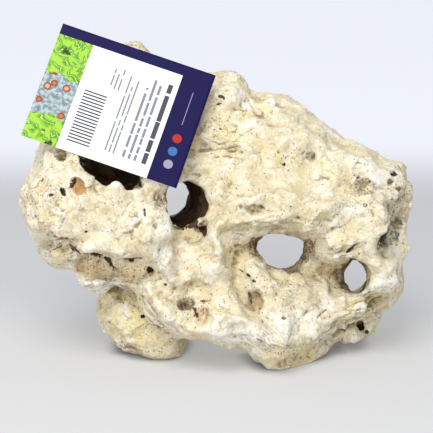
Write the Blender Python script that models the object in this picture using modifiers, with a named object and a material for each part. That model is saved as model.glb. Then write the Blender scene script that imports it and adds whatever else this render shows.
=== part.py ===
"""A cavity rock for an aquarium: one water-worn piece of pale limestone, with swim-through holes,
a blind cave and worn pockets, and the plain printed card that leans on it.

Everything is laid out in the face frame, in millimetres: a runs across the stone, b up its broad
face and c out of that face. The stone then leans back by LEAN on its three feet, so that
x = a, y runs to the back and z up, and the origin is under the middle of its box.
"""

import math

import bmesh
import bpy
import numpy as np
from mathutils import Matrix, Vector, noise

# Driving dimensions, in millimetres and degrees.
MM = 0.001
LEAN = 15.0
FLOOR_DROP = 6.6
DEPTH_SHIFT = 23.1
EDGE_ROUND = 16.0
RIM_SHARE = 0.22
RELIEF_EDGE = 6.0
LEAST_BULGE = 4.0
FRONT_BULGE = 22.0
BACK_BULGE = 24.0
SLAB_HALF = 6.0
SLAB_VOXEL = 1.4
BODY_VOXEL = 1.3
SKIN_VOXEL = 1.1
STONE_TRIANGLES = 8600
WELD = 0.01
GROUND_SIZE = (400.0, 400.0, 100.0)

# The stone's outline, clockwise from the left shoulder, as (a, b).
OUTLINE = (
    (-83, 113), (-84.5, 111), (-86, 106), (-87.5, 100), (-89.5, 96), (-91, 92), (-93, 89),
    (-93.5, 86), (-92.5, 81.5), (-92, 77.5), (-91, 72.5), (-89, 68), (-85, 65.5), (-84, 61),
    (-82, 56), (-79.5, 53), (-75.5, 51.5), (-69, 50.5), (-67, 47), (-65, 43.5), (-61.5, 41),
    (-55, 40), (-50, 42.5), (-45.5, 43), (-41, 41.5), (-38, 38), (-36, 34), (-34.5, 30),
    (-31.5, 26), (-27.5, 23), (-21.5, 19.5), (-14.5, 17.5), (-6.5, 17), (-2, 15.5), (4, 13.5),
    (12.5, 14), (16.5, 11.5),
    (19.5, 7), (23.5, 3), (27.5, 0), (31, -1), (35.5, 0.5), (40.5, 2.5), (44.5, 4), (49, 7),
    (53.5, 11), (56.5, 15), (60.5, 17), (67.5, 17), (75, 17.5), (76.5, 20), (78.5, 25), (82, 31),
    (87.5, 37.5), (91, 41.5), (91, 48), (90.5, 54.5), (91.5, 60.5), (91, 67.5), (91, 74.5),
    (93, 78.5), (95.5, 83), (93, 86), (94, 89), (90.5, 92.5), (90, 96), (90.5, 100), (89, 102.5),
    (82, 105), (75, 108.5), (67, 112.5), (61, 114.5), (56, 118), (50, 123), (45, 127), (41.5, 130),
    (35, 132.5), (29, 134.5), (21.5, 135.5), (16.5, 136.5), (14.5, 140.5), (11, 144.5), (6, 146),
    (-1, 146), (-6, 145.5), (-13, 147), (-22.5, 149), (-31, 154), (-36.5, 158.5), (-42, 161),
    (-48, 161), (-56, 156.5), (-66.5, 146), (-76.5, 131.5), (-82, 120),
)

# How far out of the face plane the middle of the stone lies at named places, as (a, b, c).
MIDDLE = {
    "front foot": (32, 0, 18),
    "band over the lobe": (-32, 34, 2),
    "rear foot": (68, 14, -36),
    "lower right rim": (84, 42, -8),
    "lower middle": (0, 24, 6),
    "left mass": (-68, 82, 5),
    "lip of the scallops": (-66, 46, 11),
    "centre": (20, 72, 0),
    "right column": (90, 82, -4),
    "upper left": (-48, 150, -12),
    "top": (5, 142, -8),
    "upper right": (62, 108, -6),
}
MIDDLE_REACH = 27.0

# Soft relief: name, a, b, half width, half height, turn in degrees, rise, and its flat share.
FRONT_SWELLS = (
    ("crown of the left mass", -62, 88, 32, 26, 0, 5, 0.2),
    ("knoll by the cave", -30, 72, 10, 14, 12, 7, 0.1),
    ("left mass shoulder", -84, 96, 14, 20, 10, -3, 0.0),
    ("slope behind the card", -50, 140, 34, 24, 0, -9, 0.3),
    ("band over the lobe", -27, 35, 24, 6, -42, 5, 0.2),
    ("lip of the middle scallop", -57, 44, 15, 5, -6, 9, 0.2),
    ("lip of the left scallop", -76, 54, 9, 5, -24, 7, 0.2),
    ("lower body", 10, 24, 36, 12, -4, 7, 0.3),
    ("white foot of the body", -2, 21, 18, 5, -8, 4, 0.2),
    ("front foot", 30, 12, 15, 14, 0, 6, 0.1),
    ("rib between the holes", 0, 63, 6.5, 18, -6, 11, 0.25),
    ("root of the rib", -5, 52, 5, 8, -14, 4, 0.0),
    ("tooth over the apron", -22, 56, 5.5, 12, 14, 8, 0.2),
    ("lit shelf under the rib", -12, 56, 13, 5, 4, 3, 0.1),
    ("upper mass", 26, 98, 46, 30, -14, 6, 0.3),
    ("shallow dish", 40, 99, 17, 15, -20, -7, 0.1),
    ("dish under the brow", 24, 91, 9, 8, 0, -3, 0.0),
    ("ring pit dish", 45, 104, 7, 7, 0, -3, 0.0),
    ("top knoll", 6, 134, 12, 12, -20, 6, 0.1),
    ("step under the knoll", 20, 124, 12, 5, -30, -3, 0.0),
    ("groove by the card", -1, 108, 15, 4.5, -10, -5, 0.1),
    ("knoll by the card", -1, 120, 9, 7, 0, 3, 0.0),
    ("slope to the first hole", -10, 95, 12, 8, 0, -4, 0.0),
    ("right of the first hole", 1, 86, 7, 11, 0, 3, 0.0),
    ("long pit over the ledge", 17.5, 79, 6.5, 3.6, -16, -4, 0.1),
    ("knoll in the cheek", 52, 80, 12, 8, -10, 4, 0.1),
    ("roll of the cheek", 58, 62, 17, 7, -6, 4, 0.2),
    ("upper right slope", 74, 97, 18, 7, -24, 3, 0.1),
    ("right crest", 86, 97, 7, 5, -30, 5, 0.2),
    ("right spur", 91, 90.5, 6, 4, 10, 5, 0.2),
    ("edge of the cheek", 77.5, 80, 3.5, 14, 0, 4, 0.2),
    ("lower right lip", 66, 30.5, 20, 4.5, 26, 4, 0.2),
    ("ramp under the third hole", 56, 33, 16, 7, 12, 3, 0.0),
)
# Steps: name, rise, width of the sloping edge, outline. The ledges and sunken fields of the face.
FRONT_STEPS = (
    ("left mass", 11, 3.2, (
        (-90, 118), (-98, 94), (-99, 86), (-98, 77), (-92.5, 71), (-88, 69), (-82, 68), (-79, 65.5),
        (-75.5, 67), (-68.5, 66), (-64.5, 64.5), (-62, 60.5), (-57, 59), (-53.5, 56.5), (-49, 53.5),
        (-45.5, 56), (-40, 57), (-33, 56.5), (-30, 54), (-27.5, 50), (-25.5, 57), (-24, 62.5),
        (-20.5, 64.5), (-18.5, 70), (-20.5, 76), (-24.5, 80.5), (-25.5, 86.5), (-23.5, 91.5),
        (-22.5, 99), (-27.5, 113), (-46, 123), (-70, 127))),
    ("left scallop", -9, 2.2, (
        (-94, 68), (-83, 67.5), (-77.5, 66.5), (-68, 66), (-62, 63.5), (-62, 59), (-66, 52),
        (-68.5, 46), (-80, 46), (-94, 54))),
    ("lump in the scallop", 8, 2.4, (
        (-80, 62), (-75, 64.5), (-66, 64), (-62, 61), (-65, 56), (-71, 52.5), (-78, 53.5), (-82, 57))),
    ("middle scallop", -12, 2.2, (
        (-69.5, 49), (-68, 55.5), (-65.5, 60), (-60, 60.5), (-55, 58.5), (-52, 55.5), (-48, 52.5),
        (-47, 48), (-50.5, 46), (-58, 45.5), (-65, 46))),
    ("right scallop", -10, 2.2, (
        (-48, 54), (-43.5, 57), (-37, 58), (-31, 55.5), (-29, 50), (-32, 46.5), (-38, 46),
        (-43.5, 45.5), (-47.5, 47))),
    ("basin", -9, 3, (
        (-20.5, 75), (-13, 74), (-8, 75), (-2, 73), (-2.5, 67), (-6.5, 63.5), (-12, 62), (-18, 62),
        (-21, 66))),
    ("pit in the basin", -4, 2.5, ((-8, 72), (-2.5, 72.5), (-2, 68), (-6, 66.5), (-9.5, 68))),
    ("apron step", -3.5, 2.6, (
        (-20, 47), (-12, 47.5), (-7, 46), (-4, 42), (-1, 37), (-1.5, 28), (-7, 24), (-13, 26),
        (-18, 33), (-21, 38.5))),
    ("arch over the double pit", -2.5, 2.5, (
        (-18, 46), (-12, 47), (-8, 45), (-6, 39), (-10, 40), (-14, 42), (-18, 42))),
    ("scoop", -8, 5.5, (
        (6, 67), (17, 67), (22, 60.5), (20, 54.5), (17.5, 48), (22, 43), (24, 34.5), (21.5, 26),
        (15, 25), (8, 33), (4.5, 42), (4, 54.5))),
    ("hollow of the holes", -13, 6, (
        (11, 67), (21.5, 69), (35, 70), (47, 68), (49, 61), (53.5, 56), (61, 55), (66, 55.5),
        (73, 53), (73, 40.5), (65, 36.5), (54, 37.5), (45.5, 42), (37, 44), (28.5, 46), (19, 51),
        (13, 59.5))),
    ("way into the third hole", -5, 3, (
        (48, 59), (54, 56), (63, 55.5), (72, 54), (72, 42), (62, 41), (54, 46), (49, 50))),
    ("upper ledge", 8, 3, (
        (-2, 72), (2.5, 82), (13, 88), (25.5, 89), (40, 88), (49.5, 84), (56, 78), (47.5, 68.5),
        (40, 68), (32, 69), (21.5, 68), (11, 67.5), (4.5, 69.5))),
    ("cheek", 10, 2.2, (
        (35.5, 66), (42, 79), (54, 85), (66, 88.5), (74.5, 87.5), (79, 83), (82, 76), (81, 70),
        (77.5, 64), (78, 58), (76, 53), (69.5, 53), (64, 53.5), (57, 53.5), (49.5, 57), (44.5, 63.5))),
    ("stained hollow", -8, 2.2, (
        (76.5, 64), (80, 70), (81.5, 76), (78.5, 82), (78, 85), (84, 87), (92, 88), (102, 87),
        (102, 60), (92, 59.5), (84, 59), (77.5, 59))),
    ("right scoop", -2, 4, ((62, 94), (68, 98), (75, 96), (77, 89.5), (74.5, 84), (66, 81), (61, 86))),
    ("right block", 12, 1.8, (
        (71, 40), (71.5, 52), (75, 56), (81, 58), (88, 59), (102, 57), (102, 42), (88.5, 41.5),
        (79, 39.5))),
    ("undercut of the block", -9, 1.8, (
        (70, 39), (79, 39), (88.5, 41), (102, 41), (95, 31), (80, 29), (70, 33))),
    ("slope over the rear foot", -13, 2.6, (
        (16, 9), (24, 11.5), (32, 12), (40, 15), (48.5, 19), (54, 24.5), (61.5, 28), (74.5, 31),
        (90, 36), (90, 20), (76, 12), (59, 10), (49, 0), (30, -8), (16, -2))),
)
BACK_SWELLS = (
    ("rear boss", -40, 70, 34, 30, 10, 9, 0.35),
    ("rear shoulder", 48, 104, 32, 24, -22, 8, 0.3),
    ("rear lobe", -30, 26, 22, 16, 0, 6, 0.3),
    ("rear dish", 8, 112, 19, 15, 15, -8, 0.1),
    ("rear ledge", -18, 134, 26, 9, -8, 6, 0.3),
    ("rear foot brow", 66, 28, 14, 9, 0, 5, 0.2),
)
BACK_STEPS = (
    ("rear terrace", 7, 5, (
        (-84, 96), (-60, 108), (-36, 100), (-14, 108), (-6, 92), (-14, 70), (-4, 52), (-22, 40),
        (-48, 46), (-70, 54), (-88, 70))),
    ("rear right terrace", 6, 5, (
        (18, 122), (44, 120), (70, 106), (86, 96), (84, 72), (66, 78), (52, 70), (46, 84), (26, 92),
        (12, 104))),
    ("rear scoop", -9, 6, (
        (12, 60), (26, 44), (44, 40), (52, 48), (50, 62), (30, 74), (16, 72))),
    ("rear notch", -8, 5, ((60, 66), (72, 72), (92, 64), (94, 48), (76, 44), (64, 52))),
    ("rear saddle", -7, 6, ((-78, 116), (-60, 120), (-40, 128), (-46, 110), (-62, 104), (-80, 104))),
)

# Solid lumps that stand out of or behind the face: name, centre (a, b, c), half axes, turn.
LUMPS = (
    ("lobe", (-36.5, 25.5, -15), (26, 16.5, 21), -35),
    ("back of the lobe", (-32, 27, -26), (22, 18, 18), 0),
    ("rear foot", (63, 32, -38), (17, 15, 22), 10),
    ("web to the rear foot", (44, 40, -26), (24, 16, 16), -20),
)

# Holes right through: name, then stations of (c, a, b, half width, reach up, reach down).
TUNNELS = (
    ("first hole", (
        (60, -11, 79, 12, 12, 12), (26, -14.5, 82, 10.5, 10.5, 10.5), (14, -16, 82.5, 10, 10, 10),
        (0, -19, 84, 10, 10, 10), (-18, -23, 87, 11, 10, 11), (-70, -30, 93, 15, 14, 16))),
    ("second hole", (
        (60, 32, 60, 24, 9, 16), (22, 32, 61.5, 17, 7.5, 13.5), (4, 31.5, 62.5, 12.8, 7, 11.8),
        (-8, 31.3, 62.5, 11.8, 7, 11.4), (-24, 31, 62.5, 13, 9, 12.5), (-70, 30, 63, 20, 14, 19))),
    ("third hole", (
        (60, 62, 52, 14, 6, 9), (16, 64.5, 50.5, 8.6, 7, 9.4), (2, 67, 48, 6.8, 8.6, 9.2),
        (-10, 67.2, 47.6, 6.4, 8.8, 9), (-24, 68, 47.5, 7.2, 9.6, 9.6), (-70, 68, 48, 10, 12, 11))),
)
TUNNEL_SPOKES = 24
TOP_SQUARENESS = 0.6
# Worn hollows: name, centre (a, b), how far the centre lies under the skin, half axes, turn.
FRONT_POCKETS = (
    ("blind cave", (-50, 101), 7, (15, 10, 18), -22),
    ("cave corner", (-40, 93), 4, (6, 5, 10), -30),
    ("cave step", (-54, 91), 1.5, (6, 4, 4), 0),
    ("first double pit", (-14, 34), 0.5, (4.6, 5.4, 4.4), 0),
    ("second double pit", (-7.5, 30), 0.5, (4.6, 5, 3.8), 0),
    ("slot over the double pit", (-4.5, 37), 0.4, (4, 1.8, 3), 0),
    ("long pocket", (18.5, 36), 0.4, (4.6, 7.8, 3), 6),
    ("crevice under the cheek", (63, 61), 0.5, (7.5, 2.2, 4), 28),
    ("deep end of the scallop", (-52, 56), 1, (6, 3, 4), -20),
    ("hole in the right scallop", (-31.5, 51.5), 1, (2.4, 2.4, 4), 0),
    ("orange pit", (-63.5, 90), 0.5, (3.2, 3.8, 2.8), 0),
    ("dark pit", (-70.5, 88), 0.5, (1.8, 2.4, 4), 0),
    ("notch by the card", (-72, 105.5), 0.5, (3.4, 3, 3.5), 0),
    ("pit in the lower right", (70, 23.5), 0.5, (3, 2.2, 3.5), 20),
)
BACK_POCKETS = (
    ("rear cave", (-52, 84), 4, (12, 9, 12), 20),
    ("rear pocket", (6, 84), 2, (9, 7, 7), -10),
    ("small rear pocket", (52, 92), 1.5, (6, 7, 5), 30),
    ("low rear pocket", (-4, 34), 2, (10, 6, 7), -12),
    ("rear pit", (-72, 66), 1, (6, 5, 5), 0),
    ("rear slot", (-20, 120), 1, (11, 4, 6), 24),
)

# Grain of the skin: how far it is moved, in millimetres, and the size of the lumps that move it.
GRAIN = ((1.5, 20.0), (1.7, 8.5), (0.5, 5.0))
# Worn cells: their reach and size, how fast a cell rises from its edge, and the share that stands out.
WORN_CELLS = ((3.0, 14.0), (1.4, 7.5))
CELL_RISE = 1.6
CELL_CREST = 0.25
# Worn bedding: each bed stands out at its foot and falls back towards its top.
BED_HEIGHT = 8.5
BED_REACH = 1.5
BED_WAVE = 7.0
BED_WAVE_SIZE = 26.0
BED_COVER = 0.5
BED_CONTRAST = 1.4
# How far the edges of swells and steps stray, and over what length.
EDGE_WANDER = ((1.8, 11.0), (0.9, 5.0))

# The printed card: size, the middle of its front, its turn in the face plane and its tip forward.
CARD_SIZE = (75.8, 58.8, 0.5)
CARD_MIDDLE = (-45.3, 128.4)
CARD_TURN = -18.9
CARD_TIP = 17.0
CARD_GAP = 0.3
CARD_MARGIN = 2.0


def clear_scene():
    for item in list(bpy.data.objects):
        bpy.data.objects.remove(item, do_unlink=True)


def new_collection(name):
    found = bpy.data.collections.new(name)
    bpy.context.scene.collection.children.link(found)
    return found


def new_material(name, colour, roughness):
    made = bpy.data.materials.new(name)
    made.use_nodes = True
    shader = made.node_tree.nodes["Principled BSDF"]
    shader.inputs["Base Color"].default_value = (*colour, 1.0)
    shader.inputs["Roughness"].default_value = roughness
    shader.inputs["Metallic"].default_value = 0.0
    return made


def face_to_world():
    """From the face frame, in metres, to the world: stood up, leant back and set over the origin."""
    stand = Matrix.Rotation(math.radians(90 - LEAN), 4, "X")
    return Matrix.Translation((0, -DEPTH_SHIFT * MM, -FLOOR_DROP * MM)) @ stand


def evaluated_copy(item, name):
    """A new mesh of the item with its modifiers applied; the item is removed."""
    graph = bpy.context.evaluated_depsgraph_get()
    mesh = bpy.data.meshes.new_from_object(item.evaluated_get(graph))
    mesh.name = name
    bpy.data.objects.remove(item, do_unlink=True)
    return mesh


def remeshed(mesh, voxel, smoothing):
    """The mesh as one even skin of the given voxel size, in millimetres, then smoothed."""
    item = bpy.data.objects.new("remeshing", mesh)
    bpy.context.scene.collection.objects.link(item)
    skin = item.modifiers.new("skin", "REMESH")
    skin.mode = "VOXEL"
    skin.voxel_size = voxel * MM
    relax = item.modifiers.new("relax", "SMOOTH")
    relax.factor = 0.5
    relax.iterations = smoothing
    return evaluated_copy(item, mesh.name)


def points_of(mesh):
    """The mesh's points as three arrays a, b and c, in millimetres."""
    flat = np.empty(len(mesh.vertices) * 3, np.float32)
    mesh.vertices.foreach_get("co", flat)
    return flat.reshape(-1, 3).T.astype(float) / MM


def set_points(mesh, a, b, c):
    mesh.vertices.foreach_set("co", (np.stack([a, b, c], axis=1) * MM).ravel().astype(np.float32))
    mesh.update()


def outline_slab():
    """The outline as a flat slab, from a smooth closed curve."""
    curve = bpy.data.curves.new("outline", "CURVE")
    curve.dimensions = "2D"
    curve.fill_mode = "BOTH"
    curve.extrude = SLAB_HALF * MM
    curve.resolution_u = 4
    spline = curve.splines.new("BEZIER")
    spline.bezier_points.add(len(OUTLINE) - 1)
    for point, (a, b) in zip(spline.bezier_points, OUTLINE):
        point.co = (a * MM, b * MM, 0)
        point.handle_left_type = point.handle_right_type = "AUTO"
    spline.use_cyclic_u = True
    item = bpy.data.objects.new("outline", curve)
    bpy.context.scene.collection.objects.link(item)
    bpy.context.view_layer.update()
    mesh = evaluated_copy(item, "slab")
    welded = bmesh.new()
    welded.from_mesh(mesh)
    bmesh.ops.remove_doubles(welded, verts=welded.verts, dist=WELD * MM)
    welded.to_mesh(mesh)
    welded.free()
    return mesh


def edge_distance(a, b, outline):
    """How far each point lies from the nearest stretch of a closed outline."""
    ends = np.array(outline, float)
    nearest = np.full(len(a), 1e9)
    for (a0, b0), (a1, b1) in zip(np.roll(ends, 1, axis=0), ends):
        along = np.clip(((a - a0) * (a1 - a0) + (b - b0) * (b1 - b0))
                        / ((a1 - a0) ** 2 + (b1 - b0) ** 2), 0, 1)
        gap = np.hypot(a - a0 - along * (a1 - a0), b - b0 - along * (b1 - b0))
        nearest = np.minimum(nearest, gap)
    return nearest


def is_inside(a, b, outline):
    """Whether each point lies inside a closed outline."""
    ends = np.array(outline, float)
    inside = np.zeros(len(a), bool)
    for (a0, b0), (a1, b1) in zip(np.roll(ends, 1, axis=0), ends):
        if b0 == b1:
            continue
        crosses = (b0 > b) != (b1 > b)
        inside ^= crosses & (a < a0 + (b - b0) * (a1 - a0) / (b1 - b0))
    return inside


def eased(share):
    share = np.clip(share, 0, 1)
    return share * share * (3 - 2 * share)


def middle_depth(a, b):
    """c of the stone's middle, blended between the named places."""
    total = np.full(len(a), 1e-9)
    blended = np.zeros(len(a))
    for place_a, place_b, place_c in MIDDLE.values():
        pull = np.exp(-((a - place_a) ** 2 + (b - place_b) ** 2) / (2 * MIDDLE_REACH ** 2))
        total += pull
        blended += pull * place_c
    return blended / total


def wandered(a, b):
    """The same points shifted a little, so that no ledge follows a straight line."""
    shift_a = np.zeros(len(a))
    shift_b = np.zeros(len(a))
    for index in range(len(a)):
        for reach, size in EDGE_WANDER:
            where = Vector((a[index] / size, b[index] / size, 0.5))
            shift_a[index] += reach * noise.noise(where)
            shift_b[index] += reach * noise.noise(where + Vector((31, 17, 5)))
    return a + shift_a, b + shift_b


def relief(a, b, swells, steps):
    """The sum of every swell and step of one side of the stone."""
    height = np.zeros(len(a))
    a, b = wandered(a, b)
    for _, at_a, at_b, half_a, half_b, turn, rise, flat in swells:
        cos, sin = math.cos(math.radians(turn)), math.sin(math.radians(turn))
        u = ((a - at_a) * cos + (b - at_b) * sin) / half_a
        v = ((b - at_b) * cos - (a - at_a) * sin) / half_b
        height += rise * eased((1 - np.hypot(u, v)) / (1 - flat))
    for _, rise, slope, outline in steps:
        share = edge_distance(a, b, outline) / slope
        height += rise * eased(np.where(is_inside(a, b, outline), share, 0))
    return height


def thickness(a, b, bulge, swells, steps):
    """Thickness of one side: a bulge that rounds off towards the outline, and its relief."""
    inset = edge_distance(a, b, OUTLINE)
    round_share = np.sqrt(1 - (1 - np.clip(inset / EDGE_ROUND, 0, 1)) ** 2)
    rounded = bulge * np.maximum(round_share, RIM_SHARE)
    return np.maximum(rounded + relief(a, b, swells, steps) * eased(inset / RELIEF_EDGE), LEAST_BULGE)


def front_depth(a, b):
    """c of the front skin at (a, b), before the pockets and the grain."""
    return middle_depth(a, b) + thickness(a, b, FRONT_BULGE, FRONT_SWELLS, FRONT_STEPS)


def back_depth(a, b):
    return middle_depth(a, b) - thickness(a, b, BACK_BULGE, BACK_SWELLS, BACK_STEPS)


def swell(mesh):
    """Moves the slab's two faces out to the stone's front and back relief."""
    a, b, c = points_of(mesh)
    share = np.clip(c / SLAB_HALF, -1, 1)
    middle = middle_depth(a, b)
    front = front_depth(a, b) - middle
    back = middle - back_depth(a, b)
    set_points(mesh, a, b, middle + np.where(share > 0, share * front, share * back))


def ellipsoid(name, centre, halves, turn):
    """A closed ellipsoid in the face frame, turned in the face plane."""
    shape = bmesh.new()
    bmesh.ops.create_icosphere(shape, subdivisions=3, radius=1.0)
    shape.transform(Matrix.Translation(Vector(centre) * MM)
                    @ Matrix.Rotation(math.radians(turn), 4, "Z")
                    @ Matrix.Diagonal((*(half * MM for half in halves), 1)))
    mesh = bpy.data.meshes.new(name)
    shape.to_mesh(mesh)
    shape.free()
    return mesh


def tunnel(name, stations):
    """A closed tube through the given stations, with a squarer top than bottom."""
    shape = bmesh.new()
    rings = []
    for c, a, b, half_width, reach_up, reach_down in stations:
        ring = []
        for spoke in range(TUNNEL_SPOKES):
            angle = math.tau * spoke / TUNNEL_SPOKES
            rise = math.sin(angle)
            up = reach_up * rise ** TOP_SQUARENESS if rise > 0 else reach_down * rise
            ring.append(shape.verts.new(Vector((a + half_width * math.cos(angle), b + up, c)) * MM))
        rings.append(ring)
    for upper, lower in zip(rings, rings[1:]):
        for spoke in range(TUNNEL_SPOKES):
            after = (spoke + 1) % TUNNEL_SPOKES
            shape.faces.new((upper[spoke], lower[spoke], lower[after], upper[after]))
    shape.faces.new(rings[0])
    shape.faces.new(reversed(rings[-1]))
    bmesh.ops.recalc_face_normals(shape, faces=shape.faces)
    mesh = bpy.data.meshes.new(name)
    shape.to_mesh(mesh)
    shape.free()
    return mesh


def depth_at(depth, a, b):
    return float(depth(np.array([a], float), np.array([b], float))[0])


def cutter_meshes():
    made = [tunnel(*row) for row in TUNNELS]
    for name, (a, b), sink, halves, turn in FRONT_POCKETS:
        made.append(ellipsoid(name, (a, b, depth_at(front_depth, a, b) - sink), halves, turn))
    for name, (a, b), sink, halves, turn in BACK_POCKETS:
        made.append(ellipsoid(name, (a, b, depth_at(back_depth, a, b) + sink), halves, turn))
    return made


def joined(mesh, others):
    """One mesh that holds all the given ones, which the next remesh turns into one skin."""
    shape = bmesh.new()
    shape.from_mesh(mesh)
    for other in others:
        shape.from_mesh(other)
    shape.to_mesh(mesh)
    shape.free()
    return mesh


def carved(mesh, cutters):
    """The body with the holes and pockets cut out of it."""
    item = bpy.data.objects.new("carving", mesh)
    bpy.context.scene.collection.objects.link(item)
    helpers = bpy.data.collections.new("carving tools")
    bpy.context.scene.collection.children.link(helpers)
    for shape in cutters:
        cutter = bpy.data.objects.new(shape.name, shape)
        helpers.objects.link(cutter)
        cut = item.modifiers.new(shape.name, "BOOLEAN")
        cut.operation = "DIFFERENCE"
        cut.object = cutter
    mesh = evaluated_copy(item, "carved")
    for cutter in list(helpers.objects):
        bpy.data.objects.remove(cutter, do_unlink=True)
    bpy.data.collections.remove(helpers)
    return mesh


def bedding(where):
    """The outward step of the bed that a point lies in, strong in some places and absent in others."""
    level = where.y + BED_WAVE * noise.noise(where / BED_WAVE_SIZE + Vector((3, 41, 9)))
    share = level / BED_HEIGHT - math.floor(level / BED_HEIGHT)
    patch = noise.noise(where / BED_WAVE_SIZE + Vector((57, 2, 23)))
    strength = BED_COVER + BED_CONTRAST * patch
    return BED_REACH * min(max(strength, 0.0), 1.0) * (0.5 - share)


def grain(where):
    """How far the skin moves out at a point: beds, lumps of several sizes and worn cells."""
    push = bedding(where)
    for reach, size in GRAIN:
        push += reach * noise.noise(where / size + Vector((7, 3, 1)) * size)
    for reach, size in WORN_CELLS:
        first, second = noise.voronoi(where / size)[0][:2]
        push += reach * (CELL_CREST - min((second - first) * CELL_RISE, 1.0))
    return push


def roughen(mesh):
    """Moves the skin along its normals by the grain."""
    normals = np.empty(len(mesh.vertices) * 3, np.float32)
    mesh.vertices.foreach_get("normal", normals)
    a, b, c = points_of(mesh)
    push = np.array([grain(Vector(point)) for point in np.stack([a, b, c], axis=1)])
    out_a, out_b, out_c = push * normals.reshape(-1, 3).T
    set_points(mesh, a + out_a, b + out_b, c + out_c)


def build_stone(collection, material):
    mesh = remeshed(outline_slab(), SLAB_VOXEL, 0)
    swell(mesh)
    joined(mesh, [ellipsoid(*row) for row in LUMPS])
    mesh = remeshed(mesh, BODY_VOXEL, 0)
    mesh = carved(mesh, cutter_meshes())
    mesh = remeshed(mesh, SKIN_VOXEL, 0)
    roughen(mesh)
    mesh = remeshed(mesh, SKIN_VOXEL, 1)
    mesh.name = "stone"
    stone = bpy.data.objects.new("stone", mesh)
    collection.objects.link(stone)
    stone.matrix_world = face_to_world()
    mesh.materials.clear()
    mesh.materials.append(material)
    thin = stone.modifiers.new("thin out", "DECIMATE")
    triangles = sum(len(face.vertices) - 2 for face in mesh.polygons)
    thin.ratio = STONE_TRIANGLES / triangles
    return stone


def cut_feet(stone, helpers):
    """Cuts the three feet flat where they stand."""
    shape = bmesh.new()
    bmesh.ops.create_cube(shape, size=1.0)
    shape.transform(Matrix.Diagonal((*(side * MM for side in GROUND_SIZE), 1.0)))
    mesh = bpy.data.meshes.new("ground")
    shape.to_mesh(mesh)
    shape.free()
    ground = bpy.data.objects.new("ground", mesh)
    helpers.objects.link(ground)
    ground.location.z = -GROUND_SIZE[2] / 2 * MM
    ground.hide_render = True
    ground.display_type = "WIRE"
    cut = stone.modifiers.new("flat feet", "BOOLEAN")
    cut.operation = "DIFFERENCE"
    cut.object = ground


def build_card(collection, material, stone):
    """The card, laid against the stone: pushed back along c until it is CARD_GAP clear of it."""
    turn = (Matrix.Rotation(math.radians(CARD_TURN), 4, "Z")
            @ Matrix.Rotation(math.radians(-CARD_TIP), 4, "X"))
    shape = bmesh.new()
    bmesh.ops.create_cube(shape, size=1.0)
    shape.transform(Matrix.Diagonal((*(side * MM for side in CARD_SIZE), 1.0)))
    mesh = bpy.data.meshes.new("card")
    shape.to_mesh(mesh)
    shape.free()
    mesh.materials.append(material)
    card = bpy.data.objects.new("card", mesh)
    collection.objects.link(card)
    forward = card_forward(stone, turn)
    card.matrix_world = (face_to_world()
                         @ Matrix.Translation(Vector((*CARD_MIDDLE, forward)) * MM) @ turn)
    return card


def card_forward(stone, turn):
    """c of the card's middle when its back is CARD_GAP clear of the highest stone behind it."""
    graph = bpy.context.evaluated_depsgraph_get()
    skin = stone.evaluated_get(graph).to_mesh()
    a, b, c = points_of(skin)
    across = turn.to_3x3() @ Vector((1, 0, 0))
    up = turn.to_3x3() @ Vector((0, 1, 0))
    out = turn.to_3x3() @ Vector((0, 0, 1))
    da, db = a - CARD_MIDDLE[0], b - CARD_MIDDLE[1]
    plane = -(da * out.x + db * out.y) / out.z
    s = da * across.x + db * across.y + plane * across.z
    t = da * up.x + db * up.y + plane * up.z
    near_across = np.abs(s) < CARD_SIZE[0] / 2 + CARD_MARGIN
    near_up = np.abs(t) < CARD_SIZE[1] / 2 + CARD_MARGIN
    behind = near_across & near_up
    highest = float((c - plane)[behind].max())
    stone.evaluated_get(graph).to_mesh_clear()
    return highest + (CARD_GAP + CARD_SIZE[2] / 2) / out.z


def main():
    clear_scene()
    parts = new_collection("cavity rock")
    helpers = new_collection("cutters")
    stone = build_stone(parts, new_material("limestone", (0.80, 0.74, 0.60), 0.85))
    bpy.context.view_layer.update()
    card = build_card(parts, new_material("printed card", (0.86, 0.87, 0.90), 0.35), stone)
    cut_feet(stone, helpers)
    stone.data.shade_smooth()
    card.data.shade_flat()


main()
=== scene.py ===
"""Looks of the cavity rock: the weathered limestone skin, the printed card and the studio round them."""

import math

import bmesh
import bpy
import numpy as np
from mathutils import Matrix, Vector
from mathutils.bvhtree import BVHTree
from mathutils.kdtree import KDTree


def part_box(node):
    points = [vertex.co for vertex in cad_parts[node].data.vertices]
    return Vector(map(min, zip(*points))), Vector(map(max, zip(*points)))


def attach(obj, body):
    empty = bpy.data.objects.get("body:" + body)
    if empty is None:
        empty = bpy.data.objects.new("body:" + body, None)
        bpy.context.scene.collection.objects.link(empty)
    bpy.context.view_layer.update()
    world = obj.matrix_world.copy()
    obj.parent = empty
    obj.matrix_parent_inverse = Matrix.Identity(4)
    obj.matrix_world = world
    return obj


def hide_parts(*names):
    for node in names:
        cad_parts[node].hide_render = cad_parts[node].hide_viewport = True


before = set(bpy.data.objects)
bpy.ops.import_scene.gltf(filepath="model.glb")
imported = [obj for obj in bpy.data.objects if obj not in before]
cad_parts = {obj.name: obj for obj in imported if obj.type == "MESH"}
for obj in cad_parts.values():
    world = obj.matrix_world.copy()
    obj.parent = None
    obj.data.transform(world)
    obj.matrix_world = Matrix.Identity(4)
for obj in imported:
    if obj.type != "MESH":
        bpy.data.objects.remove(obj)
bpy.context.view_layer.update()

# The face frame of the stone, in millimetres: a runs across it, b up its face and c out of it.
MM = 0.001
LEAN = 15.0
FLOOR_DROP = 6.6
DEPTH_SHIFT = 23.1

# Camera: it looks square at the face, PIXEL millimetres to a pixel at the face plane.
PIXEL = 0.48
IMAGE_SIZE = 433
EYE_HEIGHT = 76.56
EYE_DISTANCE = 1.0
SENSOR = 36.0

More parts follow.
